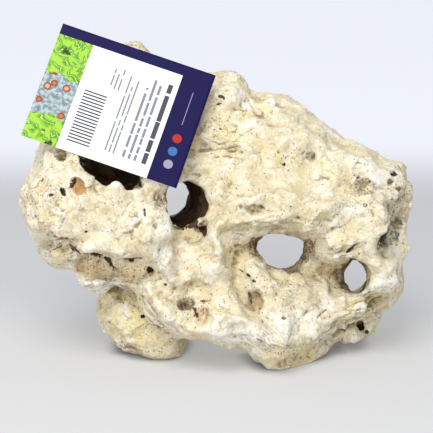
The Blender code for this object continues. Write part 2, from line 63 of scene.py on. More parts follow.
# Skin: voxel size, smoothing passes and the most triangles. It keeps its shape up to FOOT_CLEAR over the
# floor, changes more and more over the next FOOT_FADE, and stays CARD_CLEAR behind the card, also
# CARD_MARGIN beyond the card's edges, and BOX_MARGIN inside the box of its solid.
SKIN_VOXEL = 0.66
SKIN_SMOOTHING = 7
SKIN_TRIANGLES = 196000
FOOT_CLEAR = 0.35
FOOT_FADE = 2.5
CARD_CLEAR = 0.25
CARD_MARGIN = 2
BOX_MARGIN = 0.05


# Noise on arrays of points: the slopes at its corners, and the numbers that mix a cell into a hash.
GRADIENTS = np.array([
    (1, 1, 0), (-1, 1, 0), (1, -1, 0), (-1, -1, 0), (1, 0, 1), (-1, 0, 1), (1, 0, -1), (-1, 0, -1),
    (0, 1, 1), (0, -1, 1), (0, 1, -1), (0, -1, -1), (1, 1, 0), (-1, 1, 0), (0, -1, 1), (0, -1, -1),
], float)
HASH_AXES = (374761393, 668265263, 1440662683)
HASH_SEED = 974634777
HASH_ROUNDS = ((13, 1274126177), (16, 1103515245))
HASH_BITS, SHARE_BITS = 0xFFFFFFFF, 0xFFFFFF
NOISE_GAIN = 1.1
# A scattered point lies anywhere in SPOT_SPREAD of its cell, from SPOT_START on.
SPOT_START, SPOT_SPREAD = 0.1, 0.8
FAR = 9.0


def hashed(cells, seed):
    """A whole number from 0 to SHARE_BITS for each row of three whole numbers."""
    mixed = (cells[:, 0] * HASH_AXES[0] + cells[:, 1] * HASH_AXES[1]
             + cells[:, 2] * HASH_AXES[2] + seed * HASH_SEED) & HASH_BITS
    for shift, factor in HASH_ROUNDS:
        mixed = ((mixed ^ (mixed >> shift)) * factor) & HASH_BITS
    return (mixed >> 8) & SHARE_BITS


def share_of(cells, seed):
    return hashed(cells, seed) / SHARE_BITS


def smooth_noise(points, size, seed):
    """Gradient noise from about -1 to 1, with lumps of the given size."""
    scaled = points / size
    corner = np.floor(scaled).astype(np.int64)
    local = scaled - corner
    blend = local * local * local * (local * (local * 6 - 15) + 10)
    total = np.zeros(len(points))
    for step in np.ndindex(2, 2, 2):
        step = np.array(step)
        lean = GRADIENTS[hashed(corner + step, seed) % len(GRADIENTS)]
        value = ((local - step) * lean).sum(axis=1)
        weight = np.where(step, blend, 1 - blend).prod(axis=1)
        total += weight * value
    return total * NOISE_GAIN


def fractal(points, size, seed, octaves=3, falloff=0.5):
    """Smooth noise in several sizes, each half of the one before."""
    total = np.zeros(len(points))
    reach = 1.0
    for octave in range(octaves):
        total += reach * smooth_noise(points, size / 2 ** octave, seed + octave)
        reach *= falloff
    return total


def scattered(points, size, seed):
    """The nearest of many scattered points: its offset in sizes, the gap to the next one, and its cell."""
    scaled = points / size
    corner = np.floor(scaled - 0.5).astype(np.int64)
    first = np.full(len(points), FAR)
    second = np.full(len(points), FAR)
    offset = np.zeros_like(points)
    owner = corner.copy()
    for step in np.ndindex(2, 2, 2):
        cell = corner + np.array(step)
        jitter = np.stack([share_of(cell, seed + axis) for axis in range(3)], axis=1)
        away = scaled - cell - SPOT_START - SPOT_SPREAD * jitter
        gap = np.sqrt((away ** 2).sum(axis=1))
        closer = gap < first
        second = np.where(closer, first, np.minimum(second, gap))
        first = np.where(closer, gap, first)
        offset[closer] = away[closer]
        owner[closer] = cell[closer]
    return offset, second - first, owner


def eased(share):
    share = np.clip(share, 0, 1)
    return share * share * (3 - 2 * share)


# Frames and meshes.
def face_to_world():
    stand = Matrix.Rotation(math.radians(90 - LEAN), 4, "X")
    return Matrix.Translation((0, -DEPTH_SHIFT * MM, -FLOOR_DROP * MM)) @ stand


FACE = face_to_world()
FACE_TURN = np.array(FACE.to_3x3())
FACE_SHIFT = np.array(FACE.translation) / MM


def to_face(points):
    """World points in metres as face-frame points in millimetres."""
    return (points / MM - FACE_SHIFT) @ FACE_TURN


def to_world(points):
    return (points @ FACE_TURN.T + FACE_SHIFT) * MM


def points_of(mesh, kind="co"):
    flat = np.empty(len(mesh.vertices) * 3, np.float32)
    mesh.vertices.foreach_get(kind, flat)
    return flat.reshape(-1, 3).astype(float)


def normals_of(mesh):
    return points_of(mesh, "normal")


def set_points(mesh, points):
    mesh.vertices.foreach_set("co", points.astype(np.float32).ravel())
    mesh.update()


def store(mesh, name, values):
    """Keeps one number a vertex, which the materials read by name."""
    kept = mesh.attributes.new(name, "FLOAT", "POINT")
    kept.data.foreach_set("value", values.astype(np.float32))


def new_object(name, mesh):
    made = bpy.data.objects.new(name, mesh)
    bpy.context.scene.collection.objects.link(made)
    return made


def evaluated(item):
    """The item's mesh with its modifiers applied, put in place of its own."""
    graph = bpy.context.evaluated_depsgraph_get()
    mesh = bpy.data.meshes.new_from_object(item.evaluated_get(graph))
    item.modifiers.clear()
    item.data = mesh
    return mesh


def edge_pairs(mesh):
    flat = np.empty(len(mesh.edges) * 2, np.int32)
    mesh.edges.foreach_get("vertices", flat)
    return flat.reshape(-1, 2)


def relaxed(values, pairs, passes):
    """Values a vertex, averaged with their neighbours a number of times."""
    count = np.bincount(pairs.ravel(), minlength=len(values)).astype(float)
    columns = [values] if values.ndim == 1 else list(values.T)
    done = []
    for column in columns:
        for _ in range(passes):
            total = (np.bincount(pairs[:, 0], column[pairs[:, 1]], len(column))
                     + np.bincount(pairs[:, 1], column[pairs[:, 0]], len(column)))
            column = (column + total) / (count + 1)
        done.append(column)
    return done[0] if values.ndim == 1 else np.stack(done, axis=1)


# The stone's marks.
# Pits, holes and cracks of the face: (a, b), half axes, turn, depth, tint, its strength.
# A depth below 0 is a lump.
PITS = (
    # Left mass.
    ((-63.5, 90.5), (2.9, 3.7), 20, 2.4, "tan", 1),
    ((-66, 92), (0.9, 3), -24, 0.6, "umber", 0.8),
    ((-70.5, 88), (1.2, 2.2), 24, 2.2, "dark", 1),
    ((-76, 86.5), (1.3, 1.3), 0, 1.2, "umber", 0.7),
    ((-60, 69.5), (1.1, 0.8), 0, 1.2, "dark", 0.7),
    ((-33, 78.4), (0.7, 2.4), 10, 1, "dark", 0.6),
    # The cave and the first hole.
    ((-72, 104.5), (2.6, 3), 0, 2, "brown", 1),
    ((-46, 93), (7.5, 2.6), -24, 0.9, "brown", 0.9),
    ((-42, 95.4), (8.5, 3), -24, 0.8, "dark", 0.9),
    # No depth: painted shade in the cave under the card.
    ((-58.5, 99), (7.5, 4.6), -30, 0, "umber", 1),
    ((-26, 84.5), (5.5, 3.4), 50, 0.5, "brown", 0.6),
    ((-5.3, 69.6), (4.6, 2.4), -14, 1.8, "umber", 1),
    ((-6.4, 72.4), (4.2, 2.2), 10, 0.6, "brown", 0.8),
    ((-13.5, 66), (2, 1.2), 20, 0.7, "tan", 0.6),
    ((-0.8, 56.5), (2.4, 2.8), 0, 1.2, "tan", 0.5),
    # Scallops at the lower left.
    ((-74.6, 62.2), (3.6, 0.6), 24, 1.6, "umber", 0.65),
    ((-71, 66.4), (7.5, 1), -8, 1.4, "rust", 0.9),
    ((-66, 61.5), (4.6, 0.9), -40, 1.2, "rust", 0.8),
    ((-83, 69.5), (3.4, 0.7), -30, 0.6, "rust", 0.6),
    ((-73.5, 53.2), (3.8, 0.5), -8, 1, "umber", 0.6),
    ((-74.5, 58), (5, 4), -10, -1.5, "white", 0.3),
    ((-80.5, 63.5), (3.4, 3), -30, 1, "pink", 0.5),
    ((-58.4, 53.6), (8.6, 4.4), -12, 1.3, "pink", 0.55),
    ((-60, 43.6), (9.5, 2.4), -12, -1.2, "white", 1),
    # A shallow crevice along the middle scallop's upper rim, painted dark as the shade under the rim.
    ((-60, 58.8), (8.4, 0.9), -16, 1.5, "umber", 0.8),
    ((-51, 54.5), (3.4, 1.1), -46, 1.4, "umber", 0.9),
    ((-40, 56), (1.4, 1.3), 0, 1.2, "dark", 0.9),
    ((-31.3, 51.3), (1.7, 1.6), 0, 1.8, "dark", 1),
    ((-39, 52.5), (8, 4.4), 10, 1, "pink", 0.42),
    # A shallow crevice along the right scallop's upper rim, painted dark as the shade under the rim.
    ((-40, 57), (7.2, 0.9), 4, 1.4, "umber", 0.7),
    ((-48.6, 51), (1, 4), -20, 0.9, "rust", 0.6),
    ((-37, 61.5), (4.2, 3.6), 0, 0.3, "pink", 0.5),
    # The lobe.
    ((-35.5, 29), (1.2, 1), 0, 1.2, "dark", 1),
    ((-26.6, 23.8), (2.4, 0.7), -40, 1.2, "brown", 0.8),
    ((-40.5, 13.5), (7.5, 1.2), -16, 0.5, "pink", 0.7),
    ((-60, 27), (1.4, 3.4), 10, 0.4, "pink", 0.5),
    # The double pit, the apron and the long pocket.
    ((-14, 33.6), (3.4, 4.6), 20, 1.9, "brown", 0.52),
    ((-13, 35), (3.6, 3.6), 20, 0.3, "grey", 0.6),
    ((-6.8, 30), (3.8, 4.6), 0, 1.8, "pink", 0.66),
    ((-9.6, 30.6), (0.7, 3.4), 10, 0.6, "umber", 0.6),
    ((-10.3, 31.8), (0.9, 3), 16, 0.6, "rust", 0.7),
    ((-5.4, 37), (2.3, 0.6), 0, 0.9, "umber", 0.55),
    ((-24, 44.6), (1.1, 0.9), 0, 1, "dark", 0.9),
    ((18.6, 36), (3.6, 6.6), 6, 1.6, "pink", 0.62),
    ((15.8, 38), (0.8, 3.6), 6, 0.8, "brown", 0.8),
    ((18.9, 33.2), (2.4, 3.2), 0, 0.5, "rust", 0.4),
    ((11.6, 51.2), (1.5, 0.5), -30, 0.5, "dark", 0.7),
    ((15.2, 48.8), (1.4, 0.8), -40, 0.6, "dark", 0.8),
    ((17.8, 45.8), (1.2, 0.7), -50, 0.6, "dark", 0.7),
    ((15, 48.4), (5.6, 1.8), -38, 0.2, "black", 0.5),
    # Under the second hole, and the lower right.
    ((39.8, 50.2), (2.6, 0.7), -60, 0.4, "grey", 0.8),
    ((31.8, 29), (1, 0.9), 0, 0.9, "brown", 1),
    ((21.8, 27.8), (0.9, 0.9), 0, 0.8, "brown", 0.9),
    ((69.8, 22.8), (2.1, 1.7), 20, 1.8, "dark", 1),
    ((73.2, 20.6), (1.3, 1.1), 0, 1.4, "dark", 1),
    # The top and the slope.
    ((2.4, 132.8), (2.4, 0.8), -30, 0.8, "dark", 0.8),
    ((1.2, 129.8), (1.4, 0.7), 10, 0.5, "dark", 0.7),
    ((44.8, 105), (3.2, 2.9), -30, 1.8, "grey", 0.6),
    ((45.8, 104.6), (1.2, 1.8), -30, 0.9, "brown", 0.6),
    ((31.8, 101), (0.9, 0.9), 0, 0.9, "dark", 0.9),
    ((18.4, 79.8), (5.6, 2.9), -8, 2.4, "tan", 0.15),
    ((21.4, 80.4), (1, 0.7), 0, 0.8, "brown", 0.8),
    ((69, 89.8), (6.4, 4.6), 60, 0.8, "grey", 0.5),
    ((69.6, 81.6), (1, 1), 0, 0.9, "brown", 0.8),
    # The right edge.
    ((84.4, 97.2), (2.8, 1.4), 20, 2.2, "umber", 0.75),
    ((82, 92.8), (2, 1.5), 40, 1.8, "brown", 0.9),
    ((86.2, 89.6), (1.7, 1.5), 0, 1.6, "rust", 0.9),
    ((62.8, 61.2), (3.6, 0.8), 42, 1.4, "dark", 0.75),
    ((58.6, 57.8), (2.2, 0.6), 20, 0.8, "dark", 0.5),
    ((82.4, 69.4), (6.8, 8.6), -26, 0.5, "black", 0.95),
    ((79.6, 67.4), (3.4, 5.6), -30, 0.7, "dark", 0.72),
    ((77.4, 63.6), (2.2, 3.6), -20, 0.3, "black", 0.7),
    # Painted shade on the walls of the holes, and the rib.
    ((17.4, 63.6), (2.8, 6.4), 10, 0.2, "brown", 0.8),
    ((44.4, 61.6), (2.6, 6.4), -10, 0.2, "brown", 0.55),
    ((7, 60), (0.8, 2.6), -30, 0.7, "brown", 0.5),
    ((55.4, 52.4), (8, 4.6), 20, 0.2, "pink", 0.7),
    ((-1.4, 108.4), (10.5, 0.8), 2, 0.9, "rust", 0.35),
)
# Coloured and bleached places, and painted light on shaded places, with no depth of their own: (a, b), half
# axes, turn, strength, by tint.
STAINS = {"white": (
    ((-23, 71.5), (5, 7), 10, 0.9), ((-24, 57), (4, 8.4), 14, 0.8),
    ((-57, 44), (12, 4.6), -6, 1.3), ((-2.6, 50.5), (3.8, 5), 0, 0.8),
    ((12, 21), (17, 6.5), -4, 0.9), ((34, 25.6), (12, 7.5), 8, 0.8),
    ((47, 28), (5.6, 4.2), 20, 0.8), ((68.4, 32.6), (3, 3.4), 0, 0.9),
    ((12.6, 131.8), (6.6, 4.6), -30, 0.8), ((69.8, 100), (9.6, 5), -30, 0.7),
    ((84, 94), (6, 6.4), 0, 0.6), ((-41.6, 17.6), (3, 2.6), 0, 0.9),
    ((-62, 42.5), (4, 2), 0, 0.8), ((-12, 38), (6, 3), 40, 0.5),
    ((57, 118), (14, 3.5), -28, 0.6), ((82, 45.4), (9, 5.4), 6, 0.9),
    ((-80, 58), (5, 3), -30, 0.5), ((22, 12), (7, 5), -30, 0.7),
), "lavender": (
    ((76.5, 92.4), (2.4, 7.4), -8, 0.7),
), "yellow": (
    ((-42, 26), (17, 12), -30, 1.2), ((-30, 16), (8, 5), -20, 0.7),
    ((16, 129), (8.6, 6), 0, 1.2), ((4.6, 110), (10, 5.8), 4, 1.7),
    ((36, 8), (13, 6), 24, 1.5), ((72, 34), (13, 5.6), 24, 1.7),
    ((-14, 112), (8, 8), 0, 0.5), ((60, 24), (9, 6), 30, 0.8),
    ((25, 104), (8, 6), 0, 0.7), ((8.4, 59), (2.4, 6), 0, 0.9),
    ((48, 76), (4, 4), 0, 0.4), ((-80, 78), (7, 7), 0, 0.3),
    ((-13, 22), (6, 5), -40, 0.4), ((30, 12), (4, 4), 0, 0.5),
    ((88, 52), (4, 6), 0, 0.35),
# Painted light: a bright warm cream laid on shaded hollows and undersides.
), "painted_light": (
    ((-58, 51), (9, 5), -12, 1), ((-39, 51.5), (8, 4.4), 6, 1),
    ((-75, 58), (6, 5), -10, 0.8), ((56, 50), (9, 6), 20, 0.5),
    ((30, 10), (14, 5.5), 0, 0.7), ((19, 34), (3.4, 6), 6, 0.7),
), "speckle": (
    ((-59, 53.6), (9, 4.4), -12, 1), ((-39, 54), (9, 6), 6, 0.9),
    ((-10.5, 32), (8, 7), 0, 1), ((19, 38), (6, 10), 0, 0.8),
    ((58, 52), (11, 7), 20, 1), ((33, 103), (8, 5), 0, 0.7),
    ((-82, 80), (8, 16), 0, 0.5), ((68, 90), (8, 9), 0, 0.7),
    ((86, 84), (7, 14), 0, 0.8), ((-32, 22), (10, 10), 0, 0.6),
    ((40, 76), (16, 6), 0, 0.5), ((30, 44), (12, 7), 0, 0.4),
    ((-74, 62), (10, 6), 0, 0.5), ((-18, 38), (8, 6), 0, 0.5),
    ((0, 122), (6, 12), 0, 0.5), ((32, 12), (12, 6), 0, 0.4),
)}
TINTS = ("dark", "black", "umber", "brown", "rust", "pink", "tan", "yellow", "white", "lavender", "grey",
         "speckle", "rim", "painted_light")
# Painted shade inside the holes and the cave, where they are closed in: (a, b), half axes, turn, tint,
# strength.
INSIDES = (
    ((-13.9, 81), (10, 11.5), 0, "umber", 1),
    ((16.5, 61.5), (6.5, 8), 0, "brown", 0.8),
    ((46, 60), (6.5, 8), 0, "brown", 0.6),
    ((60, 49.5), (4.6, 8), 0, "brown", 0.6),
    ((-50.4, 98), (18, 8), -24, "umber", 1),
)
# Wrinkled and layered places: (a, b), half axes, turn, spacing of the wrinkles, their depth.
WRINKLES = (
    ((-36, 34), (20, 5.5), -40, 3.4, 1.3),
    ((-48, 46), (18, 3.6), 6, 3, 0.8),
    ((62, 26), (22, 6.5), 24, 3, 1.8),
    ((72, 36), (14, 4.6), 16, 2.6, 1),
    ((30, 14), (15, 7), -34, 3.2, 1.2),
    ((5, 108), (12, 7), 4, 3, 1.1),
    ((8, 60), (4.5, 12), -24, 3, 0.6),
    ((24, 73), (20, 4.6), 8, 3, 0.9),
    ((69, 90), (8, 8), 60, 3, 0.6),
    ((86, 82), (6, 14), 84, 3.4, 0.9),
    ((-72, 61), (13, 8), 24, 3.2, 1),
    ((-86, 82), (5, 16), 80, 3.2, 0.6),
    ((58, 60), (12, 5), 24, 3, 0.9),
    ((-42, 12), (16, 6), -14, 3.2, 0.7),
    ((-26, 62), (6, 12), 80, 3.6, 0.5),
    ((60, 46), (12, 7), -40, 3.2, 0.5),
)
# How chipped and how gritty the skin is: (a, b), reach, chips, grit.
AREAS = (
    ((-70, 86), 16, 0.8, 0.9), ((-48, 70), 14, 0.75, 0.6),
    ((-64, 52), 12, 0.7, 1.3), ((-24, 66), 9, 0.5, 0.3),
    ((-44, 22), 16, 0.45, 0.8), ((-30, 38), 12, 0.8, 0.7),
    ((-8, 30), 12, 0.5, 0.9), ((12, 24), 14, 0.4, 0.35),
    ((24, 42), 13, 0.35, 0.8), ((34, 8), 12, 0.8, 0.8),
    ((64, 26), 14, 0.8, 0.7), ((62, 48), 10, 0.4, 1.2),
    ((84, 48), 9, 0.3, 0.3), ((62, 70), 14, 0.6, 0.8),
    ((88, 78), 11, 1, 1.2), ((70, 92), 10, 0.5, 0.9),
    ((56, 110), 16, 0.45, 0.5), ((28, 100), 18, 0.35, 0.9),
    ((8, 90), 12, 0.4, 0.6), ((16, 126), 14, 0.8, 0.7),
    ((0, 60), 10, 0.4, 0.6), ((-12, 55), 9, 0.35, 0.6),
)
# Where a bowl, a tint and a stain start, in half axes, and how steeply they rise. A pit deeper than
# DEEP_PIT has a ring of painted shade round its rim.
BOWL_EDGE, BOWL_RISE = 1.2, 1.5
TINT_EDGE, TINT_RISE = 1.22, 2.4
STAIN_EDGE, STAIN_RISE = 1.3, 1.4
RIM_PLACE, RIM_WIDTH = 1.1, 0.22
DEEP_PIT = 1
# The same for the insides of the holes, and the shelter from which their painted shade starts.
INSIDE_EDGE, INSIDE_RISE = 1.2, 3
DARK_FROM, DARK_RISE = 0.52, 5
# Wrinkles: the tilt of their layers, how far they stretch along and into the stone, and their section.
LAYER_TILT = 0.35
WRINKLE_SEED = 401
WRINKLE_LENGTH, WRINKLE_REACH = 5, 2.5
WRINKLE_SLOPE, WRINKLE_TOP, WRINKLE_LEVEL = 2.4, 0.9, 0.6
# Chips and grit away from all areas, and the weight that they have everywhere.
PLAIN_AREA = (0.6, 0.7)
PLAIN_WEIGHT = 0.02
# Weathering: the bends of its grain, lumps, the ledges cut into them, two sizes of facets with the
# depth of their seams, and grit.
BENDS = ((2.2, 8.0, (11, 12, 13)), (0.7, 2.8, (14, 15, 16)))
LUMP_SIZE, LUMP_HEIGHT, LUMP_SEED = 14.0, 1.3, 31
LEDGE_STEP, LEDGE_RISE = 0.8, 0.4
FACETS = ((9.0, 2.4, 0.25, 41), (4.4, 0.55, 0.0, 51))
SEAM_WIDTH = 0.03
GRIT_SIZE, GRIT_HEIGHT, GRIT_SEED = 1.9, 0.24, 61
# Scattered pits: cell, share of the cells, reach, depth, seed. They come in clusters of a size.
SMALL_PITS = (4.6, 0.34, 0.8, 0.9, 81)
TINY_PITS = (2.4, 0.28, 0.55, 0.45, 91)
CLUSTER_SIZE, CLUSTER_SEED = 11.0, 71
# Shelter of each corner of the plain stone: rays, their start and their reach in millimetres. A point of
# the skin takes it from its nearest corners.
SHELTER_RAYS = 40
SHELTER_START = 0.4
SHELTER_REACH = 70.0
NEAREST_CORNERS = 3
# Averaging passes that show the folds and the hollows of the finished skin, which the material darkens as
# painted shade.
FOLD_PASSES = (("crease", 6), ("hollow", 60))
# Height over the face from which rays find the front skin.
RAY_HEIGHT = 200


def turned(points, centre, turn):
    """Places along and across a mark that is turned by some degrees, and out of the face."""
    cos, sin = math.cos(math.radians(turn)), math.sin(math.radians(turn))
    da, db, dc = (points - centre).T
    return da * cos + db * sin, db * cos - da * sin, dc


def distance_in(points, centre, halves, turn, depth_half):
    """Distance from a place in its own half axes, 1 at its edge."""
    along, across, out = turned(points, centre, turn)
    along, across = along / halves[0], across / halves[1]
    return np.sqrt(along * along + across * across + (out / depth_half) ** 2)


def tree_of(mesh, corners):
    """The mesh's faces on the given corners, for rays."""
    return BVHTree.FromPolygons([Vector(corner) for corner in corners],
                                [tuple(face.vertices) for face in mesh.polygons])


def on_skin(tree, rows):
    """The rows whose place is on the stone, with its point on the front skin and the way that faces."""
    for (a, b), *rest in rows:
        spot, normal, _, _ = tree.ray_cast(Vector((a, b, RAY_HEIGHT)), Vector((0, 0, -1)))
        if spot is not None:
            yield np.array(spot), np.array(normal), *rest


def marks(points, tree):
    """Shift of every point by the pits, and the strength of every tint there."""
    shift = np.zeros_like(points)
    tints = {name: np.zeros(len(points)) for name in TINTS}
    wobble = 1 + 0.3 * fractal(points, 3.4, 301) + 0.2 * fractal(points, 9.0, 311)
    for centre, facing, halves, turn, depth, tint, strength in on_skin(tree, PITS):
        gap = distance_in(points, centre, halves, turn, max(halves) * 1.6 + 1.5) * wobble
        into = facing * 0.5 + np.array((0, 0, 0.5))
        shift -= np.outer(depth * eased((BOWL_EDGE - gap) * BOWL_RISE), into / np.linalg.norm(into))
        tints[tint] = np.maximum(tints[tint], strength * eased((TINT_EDGE - gap) * TINT_RISE))
        # A deep pit gets a ring of painted shade round its rim.
        if depth > DEEP_PIT:
            rim = eased(1 - np.abs(gap - RIM_PLACE) / RIM_WIDTH) * strength
            tints["rim"] = np.maximum(tints["rim"], rim)
    for tint, places in STAINS.items():
        for centre, _, halves, turn, strength in on_skin(tree, places):
            gap = distance_in(points, centre, halves, turn, max(halves) * 1.2 + 3) * wobble
            tints[tint] = np.maximum(tints[tint], strength * eased((STAIN_EDGE - gap) * STAIN_RISE))
    return shift, tints


def paint_shade_inside(tints, points, shelter):
    """Paints shade inside the holes and the cave, by raising their tints where the skin is closed in."""
    broken = 0.12 * fractal(points, 6.0, 321)
    for (a, b), halves, turn, tint, strength in INSIDES:
        gap = distance_in(points, np.array((a, b, 0)), halves, turn, math.inf)
        closed = eased((shelter + broken - DARK_FROM) * DARK_RISE)
        dark = strength * eased((INSIDE_EDGE - gap) * INSIDE_RISE) * closed
        tints[tint] = np.maximum(tints[tint], dark)


def terraced(height, step, share):
    """Heights pulled to even steps; the rise between two steps takes the given share of the way."""
    level = height / step
    whole = np.floor(level)
    return (whole + eased((level - whole - 0.5) / share + 0.5)) * step


def chips(points, size, seed):
    """Flat facets, each tilted its own way: their height in sizes."""
    offset, seam, owner = scattered(points, size, seed)
    tilt = np.stack([share_of(owner, seed + axis) for axis in (3, 4, 5)], axis=1) - 0.5
    return (offset * tilt).sum(axis=1) + 0.22 * (share_of(owner, seed + 6) - 0.5), seam


def wrinkled(points, tree):
    """Ribs and cracks of the layered places: the move, how layered the skin is, and the way across."""
    move = np.zeros(len(points))
    layered = np.zeros(len(points))
    layer = np.zeros(len(points))
    bend = 1.6 * smooth_noise(points, 9.0, 411) + 0.5 * smooth_noise(points, 3.0, 412)
    for centre, _, halves, turn, pitch, depth in on_skin(tree, WRINKLES):
        gap = distance_in(points, centre, halves, turn, max(halves) * 1.2)
        near = eased((1.3 - gap) * 1.5)
        along, across, out = turned(points, centre, turn)
        stretched = np.stack([along / WRINKLE_LENGTH, across, out / WRINKLE_REACH], axis=1)
        line = np.abs(smooth_noise(stretched, pitch, WRINKLE_SEED))
        move += depth * near * (np.minimum(line * WRINKLE_SLOPE, WRINKLE_TOP) - WRINKLE_LEVEL)
        layer = np.where(near > layered, across + bend + LAYER_TILT * out, layer)
        layered = np.maximum(layered, near * min(1.0, depth))
    return move, layered, layer


def area_values(points):
    """How chipped and how gritty the skin is at every point."""
    weights = np.full(len(points), PLAIN_WEIGHT)
    total = np.outer(weights, PLAIN_AREA)
    for (a, b), reach, chip, grit in AREAS:
        weight = np.exp(-((points[:, 0] - a) ** 2 + (points[:, 1] - b) ** 2) / (reach * reach))
        weights += weight
        total += np.outer(weight, (chip, grit))
    return (total / weights[:, None]).T


def weathering(points):
    """Outward move of the skin, in millimetres, by lumps in ledges, chips and grit; and how gritty it is."""
    bent = points.copy()
    for strength, size, seeds in BENDS:
        bent += strength * np.stack([smooth_noise(points, size, seed) for seed in seeds], axis=1)
    chip, grit = area_values(points)
    chip *= np.clip(1 + 0.9 * smooth_noise(points, 20.0, 21), 0.3, 1.6)
    grit *= np.clip(1 + 1.1 * smooth_noise(points, 14.0, 22), 0.3, 1.8)
    lumps = LUMP_HEIGHT * fractal(bent, LUMP_SIZE, LUMP_SEED, falloff=0.42)
    ledges = terraced(lumps, LEDGE_STEP, LEDGE_RISE)
    move = lumps + (ledges - lumps) * np.clip(chip, 0, 1)
    for size, height, seam_depth, seed in FACETS:
        facets, seam = chips(bent, size, seed)
        move += height * facets * chip - seam_depth * np.exp(-seam / SEAM_WIDTH) * chip
    move += GRIT_HEIGHT * fractal(points, GRIT_SIZE, GRIT_SEED, octaves=2) * grit
    return move, grit


def scattered_pits(points, size, share, reach, depth, seed):
    """Small round pits in some of the cells: their depth, and how dark they are."""
    offset, _, owner = scattered(points, size, seed)
    luck = share_of(owner, seed + 7)
    width = reach * (0.6 + 0.8 * luck / share)
    gap = np.sqrt((offset ** 2).sum(axis=1)) * size
    bowl = np.where(luck < share, eased((1.15 - gap / width) * 1.6), 0)
    return depth * bowl, bowl


def sheltered(points, source):
    """How closed in every point is, from 0 in the open to 1 deep in a hole, by rays from the plain stone."""
    corners = points_of(source) / MM
    tree = tree_of(source, corners)
    rays = []
    for index in range(SHELTER_RAYS):
        rise = (index + 0.5) / SHELTER_RAYS
        angle = index * math.pi * (3 - math.sqrt(5))
        flat = math.sqrt(rise)
        rays.append((flat * math.cos(angle), flat * math.sin(angle), math.sqrt(1 - rise)))
    closed = np.zeros(len(corners))
    for index, (corner, facing) in enumerate(zip(corners, normals_of(source))):
        facing = Vector(facing).normalized()
        side = facing.orthogonal().normalized()
        other = facing.cross(side)
        start = Vector(corner) + facing * SHELTER_START
        for x, y, z in rays:
            hit = tree.ray_cast(start, side * x + other * y + facing * z, SHELTER_REACH)[0]
            closed[index] += hit is not None
    closed /= SHELTER_RAYS
    kept = KDTree(len(corners))
    for index, corner in enumerate(corners):
        kept.insert(corner, index)
    kept.balance()
    values = np.empty(len(points))
    for index, point in enumerate(points / MM):
        found = kept.find_n(point, NEAREST_CORNERS)
        weights = [1 / (gap + 0.3) for _, _, gap in found]
        total = sum(weight * closed[near] for weight, (_, near, _) in zip(weights, found))
        values[index] = total / sum(weights)
    return values


def voxel_skin():
    """The stone's solid as an even mesh, slightly smoothed, and its points."""
    skin = new_object("stone_skin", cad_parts["stone"].data.copy())
    skin.data.materials.clear()
    remesh = skin.modifiers.new("skin", "REMESH")
    remesh.mode = "VOXEL"
    remesh.voxel_size = SKIN_VOXEL * MM
    mesh = evaluated(skin)
    world = relaxed(points_of(mesh), edge_pairs(mesh), SKIN_SMOOTHING)
    set_points(mesh, world)
    return skin, world


def kept_in_place(world, moved):
    """The moved skin, still at the floor, clear of the card and inside the solid's box."""
    near_foot = eased((world[:, 2] / MM - FOOT_CLEAR) / FOOT_FADE)
    moved = clear_of_card(world, world + (moved - world) * near_foot[:, None])
    low, high = (np.array(corner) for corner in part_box("stone"))
    moved = np.clip(moved, low + BOX_MARGIN * MM, high - BOX_MARGIN * MM)
    moved[:, 2] = np.where(world[:, 2] < FOOT_CLEAR * MM, np.maximum(world[:, 2], low[2]),
                           np.maximum(moved[:, 2], low[2] + BOX_MARGIN * MM))
    return moved


def weathered(world, normals, source):
    """The weathered skin's points, and what the material reads of them by name."""
    points = to_face(world)
    tree = tree_of(source, to_face(points_of(source)))
    shelter = sheltered(world, source)
    move, grit = weathering(points)
    ribs, layered, layer = wrinkled(points, tree)
    shift, tints = marks(points, tree)
    paint_shade_inside(tints, points, shelter)
    clusters = np.clip(0.5 + 1.6 * fractal(points, CLUSTER_SIZE, CLUSTER_SEED, octaves=2), 0, 1)
    speckled = np.clip(grit * 0.6 * clusters + tints["speckle"], 0, 1.3)
    small, small_dark = scattered_pits(points, *SMALL_PITS)
    tiny, tiny_dark = scattered_pits(points, *TINY_PITS)
    move += ribs - (small + tiny) * speckled
    moved = points + (normals @ FACE_TURN) * move[:, None] + shift
    dots = np.clip(np.maximum(small_dark, tiny_dark) * speckled, 0, 1)
    read = {"dots": dots, "shelter": shelter, "layered": layered, "layer": layer, **tints}
    return kept_in_place(world, to_world(moved)), read


def build_skin():
    """The stone with its weathered skin, marks and stains."""
    skin, world = voxel_skin()
    mesh = skin.data
    moved, read = weathered(world, normals_of(mesh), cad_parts["stone"].data)
    set_points(mesh, moved)
    pairs = edge_pairs(mesh)
    normals = normals_of(mesh)
    for name, passes in FOLD_PASSES:
        even = relaxed(moved, pairs, passes)
        store(mesh, name, ((even - moved) * normals).sum(axis=1) / MM)
    for name, values in read.items():
        store(mesh, name, values)
    thin = skin.modifiers.new("thin out", "DECIMATE")
    triangles = sum(len(face.vertices) - 2 for face in mesh.polygons)
    thin.ratio = min(1.0, SKIN_TRIANGLES / triangles)
    mesh = evaluated(skin)
    mesh.name = "stone_skin"
    mesh.shade_smooth()
    return skin


# The card: its size in millimetres, its turn in the picture and its tip towards the viewer in degrees,
# the cells of its mesh, its bow and twist, the rounding of its edges and the least angle of an edge.
CARD_SIZE = (75.8, 58.8)
CARD_THICKNESS = 0.4
CARD_TURN = -18.9
CARD_TIP = 17.0
CARD_CELL = 1.4
CARD_BOW = 0.35
CARD_TWIST = 0.12
CARD_ROUND = 0.1
CARD_EDGE_ANGLE = 1


def card_turn():
    return (FACE.to_3x3().to_4x4() @ Matrix.Rotation(math.radians(CARD_TURN), 4, "Z")
            @ Matrix.Rotation(math.radians(-CARD_TIP), 4, "X"))


def card_place():
    """From the card's own frame to the world, in metres."""
    corners = points_of(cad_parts["card"].data)
    middle = Vector((corners.min(axis=0) + corners.max(axis=0)) / 2)
    return Matrix.Translation(middle) @ card_turn()


